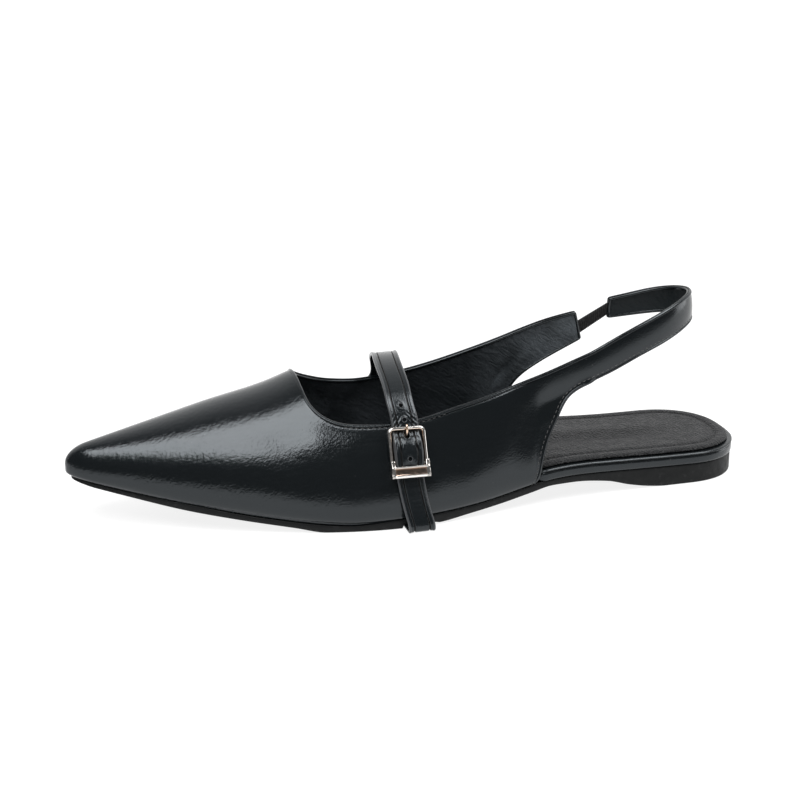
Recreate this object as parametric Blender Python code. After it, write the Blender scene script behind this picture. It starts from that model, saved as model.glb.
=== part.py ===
"""Pointed-toe slingback flat with a buckled instep band, the left shoe of a pair.

The toe points to -X, the outer (lateral) side to -Y and the sole stands on z = 0.
Tables and functions work in millimetres, and meshes are made in metres.
"""
import bmesh
import bpy
import numpy as np
from mathutils import Matrix

MM = 0.001

# Driving dimensions in millimetres
GAP = 0.3                      # clearance between pieces that touch
WALL = 1.6                     # upper and lining together
NOSE_X = -134.0                # foremost point of the upper
NOSE_Z = 21.6                  # where the ridge starts on the nose
NOSE_LENGTH = 9.0              # length over which the nose rounds off
NOSE_ROUND = 2.5               # exponent of the nose's curve
SOLE_TOE_X = -131.9            # foremost point of the outsole
SOLE_TOE_LENGTH = 8.0
HEEL_X = 133.6                 # rearmost point of the outsole
HEEL_LENGTH = 27.0             # length over which the heel seat rounds off
HEEL_ROUND = 2.3               # exponent of the heel seat's curve
FEATHER_INSET = 0.6            # upper's lower edge inside the outsole's edge
TOE_TUCK = 3.2                 # how far the nose overhangs its lower edge
TOE_TUCK_LENGTH = 26.0
BULGE_SHARE = 0.3              # share of the wall's rows below its widest line
RIDGE_ROUND = 8.0              # rounding of the ridge's section
RIDGE_ROUND_MOST = 0.45        # the same, as the most of the section's half width
THROAT_X = -47.3               # middle of the throat
THROAT_LEAN = 8.0              # how far the vamp's last line leans, its foot ahead of the throat
FRAME_SHIFT_Y = 2.87           # puts the middle of the overall box on the origin

BOARD_THIN = 2.6               # board in the forefoot
BOARD_THICK = 4.5              # board from waist to heel, where its edge shows
BOARD_RAMP = (0.0, 40.0)       # x range over which the one becomes the other
BOARD_INSET = -0.3             # shown edge stands out over the outsole's
BOARD_HIDDEN_INSET = 2.7       # where it lies inside the upper
BOARD_STEP = (41.2, 44.6)      # x range over which it comes out
BOARD_TOE_GAP = 5.0            # board's front end behind the outsole's
BOARD_EDGES = (0.3, 0.8)       # chamfers of the board's lower and upper edge
INSOLE_THICK = 1.3
INSOLE_INSET = 1.5             # further in than the board
INSOLE_EDGES = (0.2, 0.4)
OUTSOLE_EDGES = (0.7, 0.25)
STATION_STEP = 9.0             # spacing of the inner soles' sections

SLING_START_X = 64.0
SLING_LEAN = 0.8               # how far the strap's top edge leans inwards
SLING_CROWN = 0.55             # how far both its edges lie behind its middle
STRAP_TURN = (30.0, 50.0)      # x range over which the lateral wall turns upright
STRAP_TURN_HEIGHT = 13.0       # how far below the top line it does so
STRAP_TURN_FADE = 0.35         # share of that height over which this fades
ELASTIC_THICK = 1.0
ELASTIC_LEAN = 0.6             # how far its ends lean out of the upright at the strap

BAND_WIDTH = 10.4
BAND_THICK = 1.1
BAND_FLOOR = 0.05              # underside of the band above the floor
BAND_BEND = 0.8                # bend radius at the sole's edges
BAND_FLARE = 2.9               # how far the band stands off at its lateral foot
BAND_FLARE_Z = 20.0            # height where it leaves the lateral wall
BAND_FLARE_STEP = 0.3          # its place there behind its fixed end
BAND_STAND_OFF = 0.35          # band's inner face above the upper
BAND_LIFT_Z = 9.5              # height where the band leaves the upper for the floor
BAND_STATIONS = 91
WALL_STEP = 4.0                # reach over which the wall's direction is taken

BUCKLE_X = -13.2
BUCKLE_Z = 28.4
BUCKLE_WIDTH = 14.4
BUCKLE_HEIGHT = 19.0
BUCKLE_BAR = 1.45              # width of the frame's bars
BUCKLE_CORNER = 2.3            # radius of the frame's upper corners
CORNER_MARGIN = 0.5            # how far the corner cuts reach past the frame
BUCKLE_LOW = 1.55              # frame's back face above the upper, at the middle
BUCKLE_HIGH = 2.85             # frame's front face
KEEPER_HEIGHT = 4.2
KEEPER_HIGH = 4.4              # keeper bar's front face
KEEPER_THICK = 1.0
HINGE_V = -4.4                 # hinge bar's place along the frame
HINGE_LOW = 0.35               # hinge bar's back face above the upper
HINGE_BAR = 1.1                # hinge bar's thickness
HINGE_EAR = 1.2                # how far the frame's raised ends pass the hinge bar
BUCKLE_EASE = 0.3              # rounding of the metal's edges
PRONG_RADIUS = 0.45
PRONG_HOLE_V = 6.1             # middle of the band's hole along the frame
PRONG_HOLE_RADIUS = 1.35
PRONG_HOLE_STRETCH = 1.45

# Widest outline of the last and its ridge, a row for each section
LAST_COLUMNS = ("x", "bulge_z", "lateral", "medial", "ridge_y", "ridge_z", "fullness")
LAST = (
    (-134, 19.6, 0.0, 10.0, 5.0, 27.6, 2.00),
    (-115, 18.2, -9.5, 17.5, 4.3, 32.5, 1.95),
    (-95, 15.4, -19.0, 25.5, 3.3, 37.8, 1.90),
    (-75, 12.9, -27.5, 31.5, 2.3, 43.2, 1.85),
    (-55, 10.3, -34.5, 36.3, 1.2, 48.6, 1.76),
    (-47, 9.3, -36.9, 37.7, 0.9, 51.8, 1.71),
    (-35, 8.4, -39.5, 39.0, 0.5, 56.0, 1.64),
    (-15, 8.8, -41.5, 38.5, 0.0, 63.0, 1.55),
    (5, 10.2, -40.0, 35.0, 0.0, 72.0, 1.50),
    (25, 12.6, -36.3, 31.0, 0.0, 80.0, 1.50),
    (45, 12.8, -32.5, 28.0, 0.0, 88.0, 1.50),
    (65, 18.0, -30.0, 26.5, 0.0, 96.0, 1.50),
    (85, 26.0, -28.4, 25.8, 0.0, 104.0, 1.50),
)

# Outsole's edges and upper face, a row for each section
SOLE_COLUMNS = ("x", "lateral", "medial", "middle", "top_z")
SOLE = (
    (-132, 0.0, 9.6, 5.0, 17.9),
    (-115, -7.2, 15.4, 4.2, 13.8),
    (-95, -17.6, 23.8, 3.1, 10.5),
    (-75, -26.1, 29.9, 2.0, 7.7),
    (-55, -33.1, 34.8, 1.0, 4.9),
    (-35, -38.2, 37.6, 0.0, 3.1),
    (-15, -40.2, 37.1, 0.0, 3.6),
    (5, -38.7, 33.6, 0.0, 4.4),
    (25, -35.0, 29.6, 0.0, 6.3),
    (45, -31.3, 26.9, 0.0, 9.2),
    (65, -28.8, 25.8, 0.0, 9.3),
    (85, -27.4, 25.8, 0.0, 8.4),
    (105, -27.0, 26.4, 0.0, 8.0),
    (133, -27.0, 26.4, 0.0, 7.9),
)

# Outsole's underside along the shoe: toe spring, tread, place for the band, arch, heel
UNDER = (
    (-132, 16.1), (-115, 11.9), (-95, 7.9), (-75, 4.7), (-55, 1.8), (-44, 0.0), (-17.2, 0.0),
    (-15.6, 1.42), (-4.0, 1.42), (-2.6, 0.5), (10, 1.8), (25, 3.5), (38, 5.5), (47, 6.9), (56, 6.8),
    (71, 5.1), (81, 2.3), (90, 0.6), (97, 0.0), (133, 0.0),
)

# Top line of the upper from the throat back
COLLAR_LATERAL = (
    (-47.1, 49.4), (-46.7, 47.2), (-45.9, 44.9), (-44.4, 42.9), (-42.2, 41.1), (-39.0, 39.5), (-34.5, 38.4),
    (-28, 37.9), (-18, 38.0), (-7, 38.9), (5, 41.4), (20, 44.4), (35, 48.0), (50, 52.1), (64, 56.5),
)
COLLAR_MEDIAL = (
    (-46.0, 49.3), (-43.9, 47.1), (-40.4, 44.6), (-35.5, 42.2), (-30, 40.1), (-24, 38.8), (-16, 37.9),
    (-6, 38.8), (5, 40.9), (20, 45.0), (35, 50.0), (50, 55.4), (62, 59.0), (74.5, 61.3),
)

# Rear edge of each quarter, from the sole up to the strap or wing
REAR_LATERAL = (
    (40.1, 11), (41.7, 17), (44, 24.1), (47.8, 31.3), (50.4, 36), (53.4, 40.1), (58.6, 43.6), (64, 45.4),
)
REAR_MEDIAL = ((40.4, 12), (45, 22), (49.4, 30.5), (54.2, 36.2), (60, 40.2), (69, 44.9), (78.3, 49.3))
REAR_FOOT_X = {"lateral": 38.4, "medial": 36.5}

# Sling strap round the heel: x and y of its middle line in plan, z of its lower and upper edge
SLING = (
    (72, -23.9, 48.2, 59.9),
    (85, -22.0, 53.2, 65.0),
    (97, -18.9, 57.0, 68.9),
    (106.8, -14.0, 60.0, 71.6),
    (113.9, -7.0, 61.8, 72.9),
    (116.4, 1.0, 62.2, 72.9),
    (113.9, 8.6, 61.5, 72.0),
    (106.8, 14.5, 60.2, 70.4),
    (97, 18.0, 58.8, 68.0),
    (88.6, 19.8, 57.8, 66.2),
)

# Elastic ribbon's ends, x and z of the top and bottom corner
ELASTIC_FRONT = ((76.3, 57.2), (78.0, 51.7))
ELASTIC_BACK = ((88.2, 64.1), (88.2, 58.5))

# Free arch of the band over the instep from the medial collar to the buckle: y, z, x
ARCH = (
    (26.2, 46.0, -5.0),
    (18.5, 50.6, -7.0),
    (8.0, 53.6, -9.2),
    (-2.0, 54.2, -11.2),
    (-12.0, 52.4, -12.4),
    (-21.0, 48.9, -13.0),
    (-27.6, 44.4, -13.4),
)
BAND_X = {"fixed": -13.5, "lateral_low": -10.0, "medial_low": -9.6, "medial_collar": -4.2}
BAND_MEDIAL_HEIGHTS = (10.0, 17, 24, 31, 36, 38.5)
BAND_UNDER_Y = (-38.0, 34.0)

# Band's free end through the buckle: place along the frame, inner face above the upper
TAIL = ((11.4, -0.3), (8.6, -0.05), (6.2, 0.75), (3.6, 1.65), (-0.5, 1.95), (-4.4, 1.85), (-8.9, 1.85))

# Prong from by the hinge bar to its tip over the top bar: place along the frame, height above the upper
PRONG = ((-3.5, 0.7), (0.0, 0.7), (3.4, 0.7), (5.2, 1.1), (7.0, 2.9), (8.4, 3.65), (10.2, 3.5))


class Curve:
    """Natural cubic spline of one or more columns over an increasing parameter."""

    def __init__(self, knots, values):
        self.knots = np.asarray(knots, float)
        self.values = np.asarray(values, float)
        self.step = np.diff(self.knots)
        size = len(self.knots)
        matrix = np.eye(size)
        right = np.zeros_like(self.values)
        for i in range(1, size - 1):
            before = self.step[i - 1]
            after = self.step[i]
            matrix[i, i - 1:i + 2] = before, 2 * (before + after), after
            rise = (self.values[i + 1] - self.values[i]) / after
            right[i] = 6 * (rise - (self.values[i] - self.values[i - 1]) / before)
        self.bend = np.linalg.solve(matrix, right)

    def __call__(self, place):
        i = int(np.clip(np.searchsorted(self.knots, place) - 1, 0, len(self.step) - 1))
        h = self.step[i]
        left = self.knots[i + 1] - place
        right = place - self.knots[i]
        cubic = (self.bend[i] * left ** 3 + self.bend[i + 1] * right ** 3) / (6 * h)
        low = (self.values[i] / h - self.bend[i] * h / 6) * left
        high = (self.values[i + 1] / h - self.bend[i + 1] * h / 6) * right
        return cubic + low + high


def path_curve(points):
    """Spline through points, by the distance along them from 0 to 1."""
    points = np.asarray(points, float)
    along = np.concatenate([[0], np.cumsum(np.linalg.norm(np.diff(points, axis=0), axis=1))])
    return Curve(along / along[-1], points), along / along[-1]


def level_curve(rows):
    """Shape-keeping cubic through rows of (x, z): level stretches stay exactly level."""
    x, z = np.array(rows, float).T
    slope = np.diff(z) / np.diff(x)
    tangent = np.zeros_like(z)
    for i in range(1, len(x) - 1):
        if slope[i - 1] * slope[i] > 0:
            tangent[i] = 2 * slope[i - 1] * slope[i] / (slope[i - 1] + slope[i])
    tangent[0] = slope[0]
    tangent[-1] = slope[-1]

    def value(place):
        i = int(np.clip(np.searchsorted(x, place) - 1, 0, len(x) - 2))
        h = x[i + 1] - x[i]
        t = (place - x[i]) / h
        start = (1 + 2 * t) * (1 - t) ** 2 * z[i] + t * (1 - t) ** 2 * h * tangent[i]
        end = t * t * (3 - 2 * t) * z[i + 1] + t * t * (t - 1) * h * tangent[i + 1]
        return start + end

    return value


def table_curves(columns, rows):
    """One curve for each named column, over the first column."""
    data = np.array(rows, float)
    return {name: Curve(data[:, 0], data[:, i]) for i, name in enumerate(columns)}


last = table_curves(LAST_COLUMNS, LAST)
sole = table_curves(SOLE_COLUMNS, SOLE)
under = level_curve(UNDER)


def quarter_round(share, power=2.0):
    """Rounding of an outline's end: 0 at its tip, 1 where it is full."""
    share = min(max(share, 0.0), 1.0)
    return (1 - (1 - share) ** power) ** (1 / power)


def smooth_step(share):
    share = min(max(share, 0.0), 1.0)
    return share * share * (3 - 2 * share)


def side_sign(side):
    return -1.0 if side == "lateral" else 1.0


def sole_edge(x, side, inset=0.0, toe=SOLE_TOE_X, heel=HEEL_X):
    """Edge of the outsole, or of an outline inside it, at section x."""
    middle = sole["middle"](x)
    reach = sole[side](x) - middle - side_sign(side) * inset
    rounding = quarter_round((x - toe) / SOLE_TOE_LENGTH)
    rounding *= quarter_round((heel - x) / HEEL_LENGTH, HEEL_ROUND)
    return middle + reach * rounding


def feather_point(x, side):
    """Lower edge of the upper for the section whose widest line is at x."""
    tuck = TOE_TUCK * max(0.0, 1 - (x - NOSE_X) / TOE_TUCK_LENGTH) ** 2
    foot = x + tuck
    toe = NOSE_X + TOE_TUCK
    return foot, sole_edge(foot, side, FEATHER_INSET, toe), sole["top_z"](foot) + GAP


def section(x, side):
    """Ridge and widest point of the last's section, with its fullness."""
    rounding = quarter_round((x - NOSE_X) / NOSE_LENGTH, NOSE_ROUND)
    ridge_y = last["ridge_y"](x)
    bulge_y = ridge_y + (last[side](x) - ridge_y) * rounding
    ridge_z = NOSE_Z + (last["ridge_z"](x) - NOSE_Z) * rounding
    return ridge_y, ridge_z, bulge_y, last["bulge_z"](x), last["fullness"](x)


def ridge_blunting(half_width, fullness):
    """Rounding of the ridge as a share of the half width, and the rise it leaves at the top."""
    blunt = min(RIDGE_ROUND / max(abs(half_width), 0.1), RIDGE_ROUND_MOST)
    held = blunt / np.sqrt(1 + blunt ** 2)
    return blunt, (1 - held ** fullness) ** (1 / fullness)


def last_point(x, share, side):
    """Point of the upper's outer face: share 0 at the sole, 1 on the ridge."""
    ridge_y, ridge_z, bulge_y, bulge_z, fullness = section(x, side)
    if share < BULGE_SHARE:
        foot_x, foot_y, foot_z = feather_point(x, side)
        angle = share / BULGE_SHARE * np.pi / 2
        out = np.sin(angle)
        z = bulge_z - (bulge_z - foot_z) * np.cos(angle)
        return foot_x + (x - foot_x) * out, foot_y + (bulge_y - foot_y) * out, z
    angle = (share - BULGE_SHARE) / (1 - BULGE_SHARE) * np.pi / 2
    out = max(np.cos(angle), 0.0) ** (2 / fullness)
    blunt, top = ridge_blunting(bulge_y - ridge_y, fullness)
    held = np.sqrt((out ** 2 + blunt ** 2) / (1 + blunt ** 2))
    rise = (1 - held ** fullness) ** (1 / fullness) / top
    return x, ridge_y + (bulge_y - ridge_y) * out, bulge_z + (ridge_z - bulge_z) * rise


def height_share(x, z, side):
    """Share of the wall, as last_point takes it, at height z of section x."""
    ridge_y, ridge_z, bulge_y, bulge_z, fullness = section(x, side)
    if z < bulge_z:
        foot_z = feather_point(x, side)[2]
        drop = min((bulge_z - z) / (bulge_z - foot_z), 1.0)
        return BULGE_SHARE * np.arccos(drop) / (np.pi / 2)
    blunt, top = ridge_blunting(bulge_y - ridge_y, fullness)
    rise = min((z - bulge_z) / (ridge_z - bulge_z), 1.0) * top
    held = (1 - rise ** fullness) ** (1 / fullness)
    out = np.sqrt(max(held ** 2 * (1 + blunt ** 2) - blunt ** 2, 0.0))
    return BULGE_SHARE + (1 - BULGE_SHARE) * np.arccos(min(out, 1.0) ** (fullness / 2)) / (np.pi / 2)


def wall_point(x, z, side, out=0.0):
    """Point at height z of section x, moved out from the upper's outer face."""
    share = height_share(x, z, side)
    here = np.array(last_point(x, share, side))
    above = np.array(last_point(x, share + 0.01, side)) - here
    normal = np.array([0.0, -above[2], above[1]])
    normal *= -side_sign(side) / np.linalg.norm(normal)
    return here + out * normal


def collar_curve():
    """Top line as (x, share): lateral end, throat, medial end; shares past the ridge count on."""
    rows = []
    for x, z in reversed(COLLAR_LATERAL):
        share = height_share(x, z, "lateral")
        rows.append((x, share, last_point(x, share, "lateral")))
    rows.append((THROAT_X, 1.0, last_point(THROAT_X, 1.0, "lateral")))
    for x, z in COLLAR_MEDIAL:
        share = height_share(x, z, "medial")
        rows.append((x, 2 - share, last_point(x, share, "medial")))
    places = np.array([row[2] for row in rows])
    along = np.concatenate([[0], np.cumsum(np.linalg.norm(np.diff(places, axis=0), axis=1))])
    throat = along[len(COLLAR_LATERAL)]
    curve = Curve(along, np.array([row[:2] for row in rows]))
    return curve, along[0] - throat, along[-1] - throat, throat


def strap_height(x):
    """Heights of the lateral wall's lower and upper edge where it runs out into the strap."""
    return np.interp(x, *np.array(REAR_LATERAL).T), np.interp(x, *np.array(COLLAR_LATERAL[5:]).T)


def sling_lean(f):
    """How far the strap's outer face lies inwards, lower edge 0, upper edge 1."""
    return SLING_LEAN * (f - 0.5) + SLING_CROWN * (2 * f - 1) ** 2


def turned(point, side):
    """Point of the wall, turned upright where the lateral wall runs out into the strap."""
    x, y, z = point
    start, end = STRAP_TURN
    turn = smooth_step((x - start) / (end - start))
    if side == "medial" or turn == 0:
        return point
    low, high = strap_height(x)
    low = max(low, high - STRAP_TURN_HEIGHT)
    f = (z - low) / (high - low)
    turn *= smooth_step((f + STRAP_TURN_FADE) / (2 * STRAP_TURN_FADE))
    upright = wall_point(x, (low + high) / 2, side)[1] + sling_lean(max(f, 0.0))
    return x, y + (upright - y) * turn, z


def wall_line(bottom, top, side, rows):
    """Points of the wall along a line between two (x, share) ends."""
    line = []
    for f in np.linspace(0, 1, rows + 1):
        x = bottom[0] + (top[0] - bottom[0]) * f
        share = bottom[1] + (top[1] - bottom[1]) * f
        line.append(turned(last_point(x, share, side), side))
    return line


def rear_curve(side):
    """Rear edge of a quarter as (x, share) from the sole up."""
    rows = REAR_LATERAL if side == "lateral" else REAR_MEDIAL
    points = [(REAR_FOOT_X[side], 0.0)]
    points += [(x, height_share(x, z, side)) for x, z in rows]
    heights = [(REAR_FOOT_X[side], sole["top_z"](REAR_FOOT_X[side]))] + list(rows)
    along = path_curve(heights)[1]
    return Curve(along, np.array(points))


def sling_line(curve, place, rows):
    """Points across the sling strap, lower to upper edge, leaning inwards."""
    x, y, low, high = curve(place)
    ahead = curve(place + 0.005)
    tangent = np.array([ahead[0] - x, ahead[1] - y])
    tangent /= np.linalg.norm(tangent)
    inward = np.array([-tangent[1], tangent[0]])
    line = []
    for f in np.linspace(0, 1, rows + 1):
        lean = sling_lean(f)
        line.append((x + inward[0] * lean, y + inward[1] * lean, low + (high - low) * f))
    return line


def sling_curve():
    """Sling strap's path, running on from the lateral quarter's wall."""
    rows = []
    for x in (SLING_START_X - 8, SLING_START_X):
        low, high = strap_height(x)
        y = wall_point(x, (low + high) / 2, "lateral")[1]
        rows.append((x, y, low, high))
    rows += SLING
    return path_curve(rows)


def upper_lines(side, rows, toe_lines, throat_lines, rear_lines):
    """Lines of the upper's outer face from the nose back along one side."""
    collar, lateral_end, medial_end, throat = collar_curve()
    end = lateral_end if side == "lateral" else medial_end
    rear = rear_curve(side)

    def top(share):
        x, height = collar(throat + end * share)
        return x, height if side == "lateral" else 2 - height

    shares = np.linspace(0.3, 1, 141)
    over_foot = [share for share in shares if top(share)[0] > REAR_FOOT_X[side]]
    rear_share = over_foot[0]
    lines = []
    nose_lines = toe_lines // 3
    nose = NOSE_X + NOSE_LENGTH * (1 - np.cos(np.linspace(0, np.pi / 2, nose_lines + 1)))
    vamp = np.linspace(0, 1, toe_lines - nose_lines + 1)[1:]
    start = NOSE_X + NOSE_LENGTH
    throat_foot = THROAT_X - THROAT_LEAN
    for x in nose:
        lines.append(wall_line((x, 0.0), (x, 1.0), side, rows))
    for f in vamp:
        x = start + (THROAT_X - start) * f
        lines.append(wall_line((x - THROAT_LEAN * f * f, 0.0), (x, 1.0), side, rows))
    for f in np.linspace(0, 1, throat_lines + 1)[1:]:
        foot = throat_foot + (REAR_FOOT_X[side] - throat_foot) * f
        lines.append(wall_line((foot, 0.0), top(f * rear_share), side, rows))
    for f in np.linspace(0, 1, rear_lines + 1)[1:]:
        lines.append(wall_line(rear(f), top(rear_share + (1 - rear_share) * f), side, rows))
    return lines


def sling_lines(rows, count):
    curve, along = sling_curve()
    return [sling_line(curve, place, rows) for place in np.linspace(along[1], 0.995, count + 1)[1:]]


def sheet_mesh(sides):
    """Quads over grids of lines; points that coincide are merged."""
    mesh = bmesh.new()
    for lines, flip in sides:
        grid = [[mesh.verts.new(np.array(point) * MM) for point in line] for line in lines]
        for here, there in zip(grid, grid[1:]):
            for a, b, c, d in zip(here, here[1:], there[1:], there):
                mesh.faces.new((a, b, c, d) if flip else (d, c, b, a))
    bmesh.ops.remove_doubles(mesh, verts=mesh.verts, dist=0.00001)
    return mesh


def loft_mesh(rings):
    """Closed body over rings of points, with a flat cap at each end."""
    mesh = bmesh.new()
    loops = [[mesh.verts.new(np.array(point) * MM) for point in ring] for ring in rings]
    for here, there in zip(loops, loops[1:]):
        for i in range(len(here)):
            j = (i + 1) % len(here)
            mesh.faces.new((here[i], here[j], there[j], there[i]))
    mesh.faces.new(loops[0])
    mesh.faces.new(loops[-1])
    bmesh.ops.recalc_face_normals(mesh, faces=mesh.faces)
    return mesh


def sole_stations(toe, heel, middle):
    """Sections along a sole piece, close together where the ends round off."""
    turn = np.linspace(0, np.pi / 2, 8)
    turn[0] = turn[1] / 3
    front = toe + SOLE_TOE_LENGTH * (1 - np.cos(turn))
    back = heel - HEEL_LENGTH * (1 - np.cos(turn[::-1]))
    between = [x for x in middle if front[-1] + 2 < x < back[0] - 2]
    return np.concatenate([front, between, back])


def slab_ring(x, lateral, medial, low, high, edges, across=3):
    """Section of a sole piece with chamfered lower and upper edges."""
    limit = 0.4 * min((medial - lateral) / 2, high - low)
    edge_low, edge_high = [min(edge, limit) for edge in edges]
    bottom = [(x, y, low) for y in np.linspace(lateral + edge_low, medial - edge_low, across + 1)]
    top = [(x, y, high) for y in np.linspace(medial - edge_high, lateral + edge_high, across + 1)]
    right = [(x, medial, low + edge_low), (x, medial, high - edge_high)]
    left = [(x, lateral, high - edge_high), (x, lateral, low + edge_low)]
    return bottom + right + top + left


def material(name, colour, roughness, metallic=0.0):
    finish = bpy.data.materials.new(name)
    finish.use_nodes = True
    shader = finish.node_tree.nodes["Principled BSDF"]
    shader.inputs["Base Color"].default_value = (*colour, 1.0)
    shader.inputs["Roughness"].default_value = roughness
    shader.inputs["Metallic"].default_value = metallic
    return finish


def add_object(name, mesh, finish, parent):
    data = bpy.data.meshes.new(name)
    mesh.to_mesh(data)
    mesh.free()
    data.shade_smooth()
    data.materials.append(finish)
    piece = bpy.data.objects.new(name, data)
    piece.parent = parent
    bpy.context.scene.collection.objects.link(piece)
    return piece


def make_outsole(finish, parent):
    rings = []
    bends = [x for x, z in UNDER]
    between = [(a + b) / 2 for a, b in zip(bends, bends[1:]) if b - a > 7]
    for x in sole_stations(SOLE_TOE_X, HEEL_X, sorted(bends + between)):
        lateral = sole_edge(x, "lateral")
        medial = sole_edge(x, "medial")
        rings.append(slab_ring(x, lateral, medial, under(x), sole["top_z"](x), OUTSOLE_EDGES))
    return add_object("outsole", loft_mesh(rings), finish, parent)


def board_inset(x):
    low, high = BOARD_STEP
    return BOARD_HIDDEN_INSET + (BOARD_INSET - BOARD_HIDDEN_INSET) * smooth_step((x - low) / (high - low))


def board_top(x):
    low, high = BOARD_RAMP
    thick = BOARD_THIN + (BOARD_THICK - BOARD_THIN) * smooth_step((x - low) / (high - low))
    return sole["top_z"](x) + GAP + thick


def make_inner_sole(name, finish, parent, extra_inset, edges, heights):
    """Board or insole: a slab inside the outsole's outline between two heights."""
    toe = SOLE_TOE_X + BOARD_TOE_GAP + extra_inset
    heel = HEEL_X - BOARD_INSET - extra_inset
    step_start, step_end = BOARD_STEP
    before = np.arange(toe, step_start - STATION_STEP / 2, STATION_STEP)
    behind = np.arange(step_end + STATION_STEP, heel, STATION_STEP)
    middle = np.concatenate([before, np.linspace(step_start, step_end, 5), behind])
    rings = []
    for x in sole_stations(toe, heel, middle):
        inset = board_inset(x) + extra_inset
        lateral = sole_edge(x, "lateral", inset, toe, heel)
        medial = sole_edge(x, "medial", inset, toe, heel)
        rings.append(slab_ring(x, lateral, medial, *heights(x), edges))
    return add_object(name, loft_mesh(rings), finish, parent)


def make_board(finish, parent):
    def heights(x):
        return sole["top_z"](x) + GAP, board_top(x)
    return make_inner_sole("insole_board", finish, parent, 0.0, BOARD_EDGES, heights)


def make_insole(finish, parent):
    def heights(x):
        return board_top(x) + GAP, board_top(x) + GAP + INSOLE_THICK
    return make_inner_sole("insole", finish, parent, INSOLE_INSET, INSOLE_EDGES, heights)


def make_upper(finish, parent):
    rows = 10
    lateral = upper_lines("lateral", rows, 18, 18, 9) + sling_lines(rows, 26)
    medial = upper_lines("medial", rows, 18, 18, 13)
    piece = add_object("upper", sheet_mesh(((lateral, False), (medial, True))), finish, parent)
    wall = piece.modifiers.new("wall", "SOLIDIFY")
    wall.thickness = WALL * MM
    wall.offset = -1.0
    wall.use_quality_normals = True
    return piece


def make_elastic(finish, parent):
    """Short ribbon between the wing's end and the strap's end, in the middle of their wall."""
    strap_y = SLING[-1][1] - WALL / 2
    starts = [wall_point(x, z, "medial", -WALL / 2) for x, z in ELASTIC_FRONT]
    leans = (-ELASTIC_LEAN, ELASTIC_LEAN)
    ends = [np.array((x, strap_y + lean, z)) for (x, z), lean in zip(ELASTIC_BACK, leans)]
    half = np.array((0, ELASTIC_THICK / 2, 0))
    rings = []
    for f in np.linspace(0, 1, 7):
        top, low = [start + (end - start) * f for start, end in zip(starts, ends)]
        rings.append((top - half, top + half, low + half, low - half))
    return add_object("sling_elastic", loft_mesh(rings), finish, parent)


def wall_run(x, z, side, along_x, along_z):
    """Step along the wall between two places equally far either side of (x, z)."""
    ahead = wall_point(x + along_x, z + along_z, side)
    behind = wall_point(x - along_x, z - along_z, side)
    return ahead - behind


def buckle_matrix():
    """Local frame of the buckle: across, up along the wall, out from the wall."""
    here = wall_point(BUCKLE_X, BUCKLE_Z, "lateral")
    across = wall_run(BUCKLE_X, BUCKLE_Z, "lateral", WALL_STEP, 0.0)
    rising = wall_run(BUCKLE_X, BUCKLE_Z, "lateral", 0.0, WALL_STEP)
    across /= np.linalg.norm(across)
    out = np.cross(across, rising)
    out /= np.linalg.norm(out)
    up = np.cross(out, across)
    return np.column_stack([across, up, out]), here


def band_path():
    """Middle of the band from its end at the hinge bar round the shoe to its free end, with skew."""
    offset = BAND_STAND_OFF + BAND_THICK / 2
    floor = BAND_FLOOR + BAND_THICK / 2
    axes, origin = buckle_matrix()
    fixed_z = origin[2] + axes[2, 1] * (HINGE_V - HINGE_BAR)
    rows = []

    def wall_rows(side, heights, places):
        for z, x in zip(heights, places):
            rows.append(tuple(wall_point(x, z, side, offset)) + (wall_skew(x, z, side),))

    def wall_skew(x, z, side):
        return wall_run(x, z, side, WALL_STEP, 0.0)[1] / (2 * WALL_STEP)

    def bend_rows(side, x, z, rising):
        flare = 0.0 if rising else BAND_FLARE
        bulge = wall_point(x, last["bulge_z"](x), side, offset + flare)[1]
        centre_y = bulge - side_sign(side) * BAND_BEND
        centre_z = floor + BAND_BEND
        skew = wall_skew(x, z, side)
        turn = [(x, bulge, centre_z, skew)]
        for angle in np.radians((22.5, 45, 67.5, 90)):
            y = centre_y + side_sign(side) * BAND_BEND * np.cos(angle)
            turn.append((x, y, centre_z - BAND_BEND * np.sin(angle), skew * np.cos(angle)))
        turn.append((x, centre_y - side_sign(side) * BAND_BEND, floor, 0.0))
        rows.extend(reversed(turn) if rising else turn)

    low_x = BAND_X["lateral_low"]
    high_x = BAND_X["medial_low"]
    fixed_x = BAND_X["fixed"]
    start_y, end_y = BAND_UNDER_Y
    wall_rows("lateral", (fixed_z, BAND_FLARE_Z), (fixed_x, fixed_x + BAND_FLARE_STEP))
    bend_rows("lateral", low_x, BAND_LIFT_Z, False)
    for f in np.linspace(0, 1, 6)[1:-1]:
        rows.append((low_x + (high_x - low_x) * f, start_y + (end_y - start_y) * f, floor, 0.0))
    bend_rows("medial", high_x, BAND_LIFT_Z, True)
    places = np.linspace(high_x, BAND_X["medial_collar"], len(BAND_MEDIAL_HEIGHTS))
    wall_rows("medial", BAND_MEDIAL_HEIGHTS, places)
    for y, z, x in ARCH:
        rows.append((x, y, z, 0.0))
    for v, inner in TAIL:
        place = origin + axes[:, 1] * v + axes[:, 2] * (inner + BAND_THICK / 2)
        rows.append(tuple(place) + (axes[1, 0] / axes[0, 0],))
    return np.array(rows)


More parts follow.
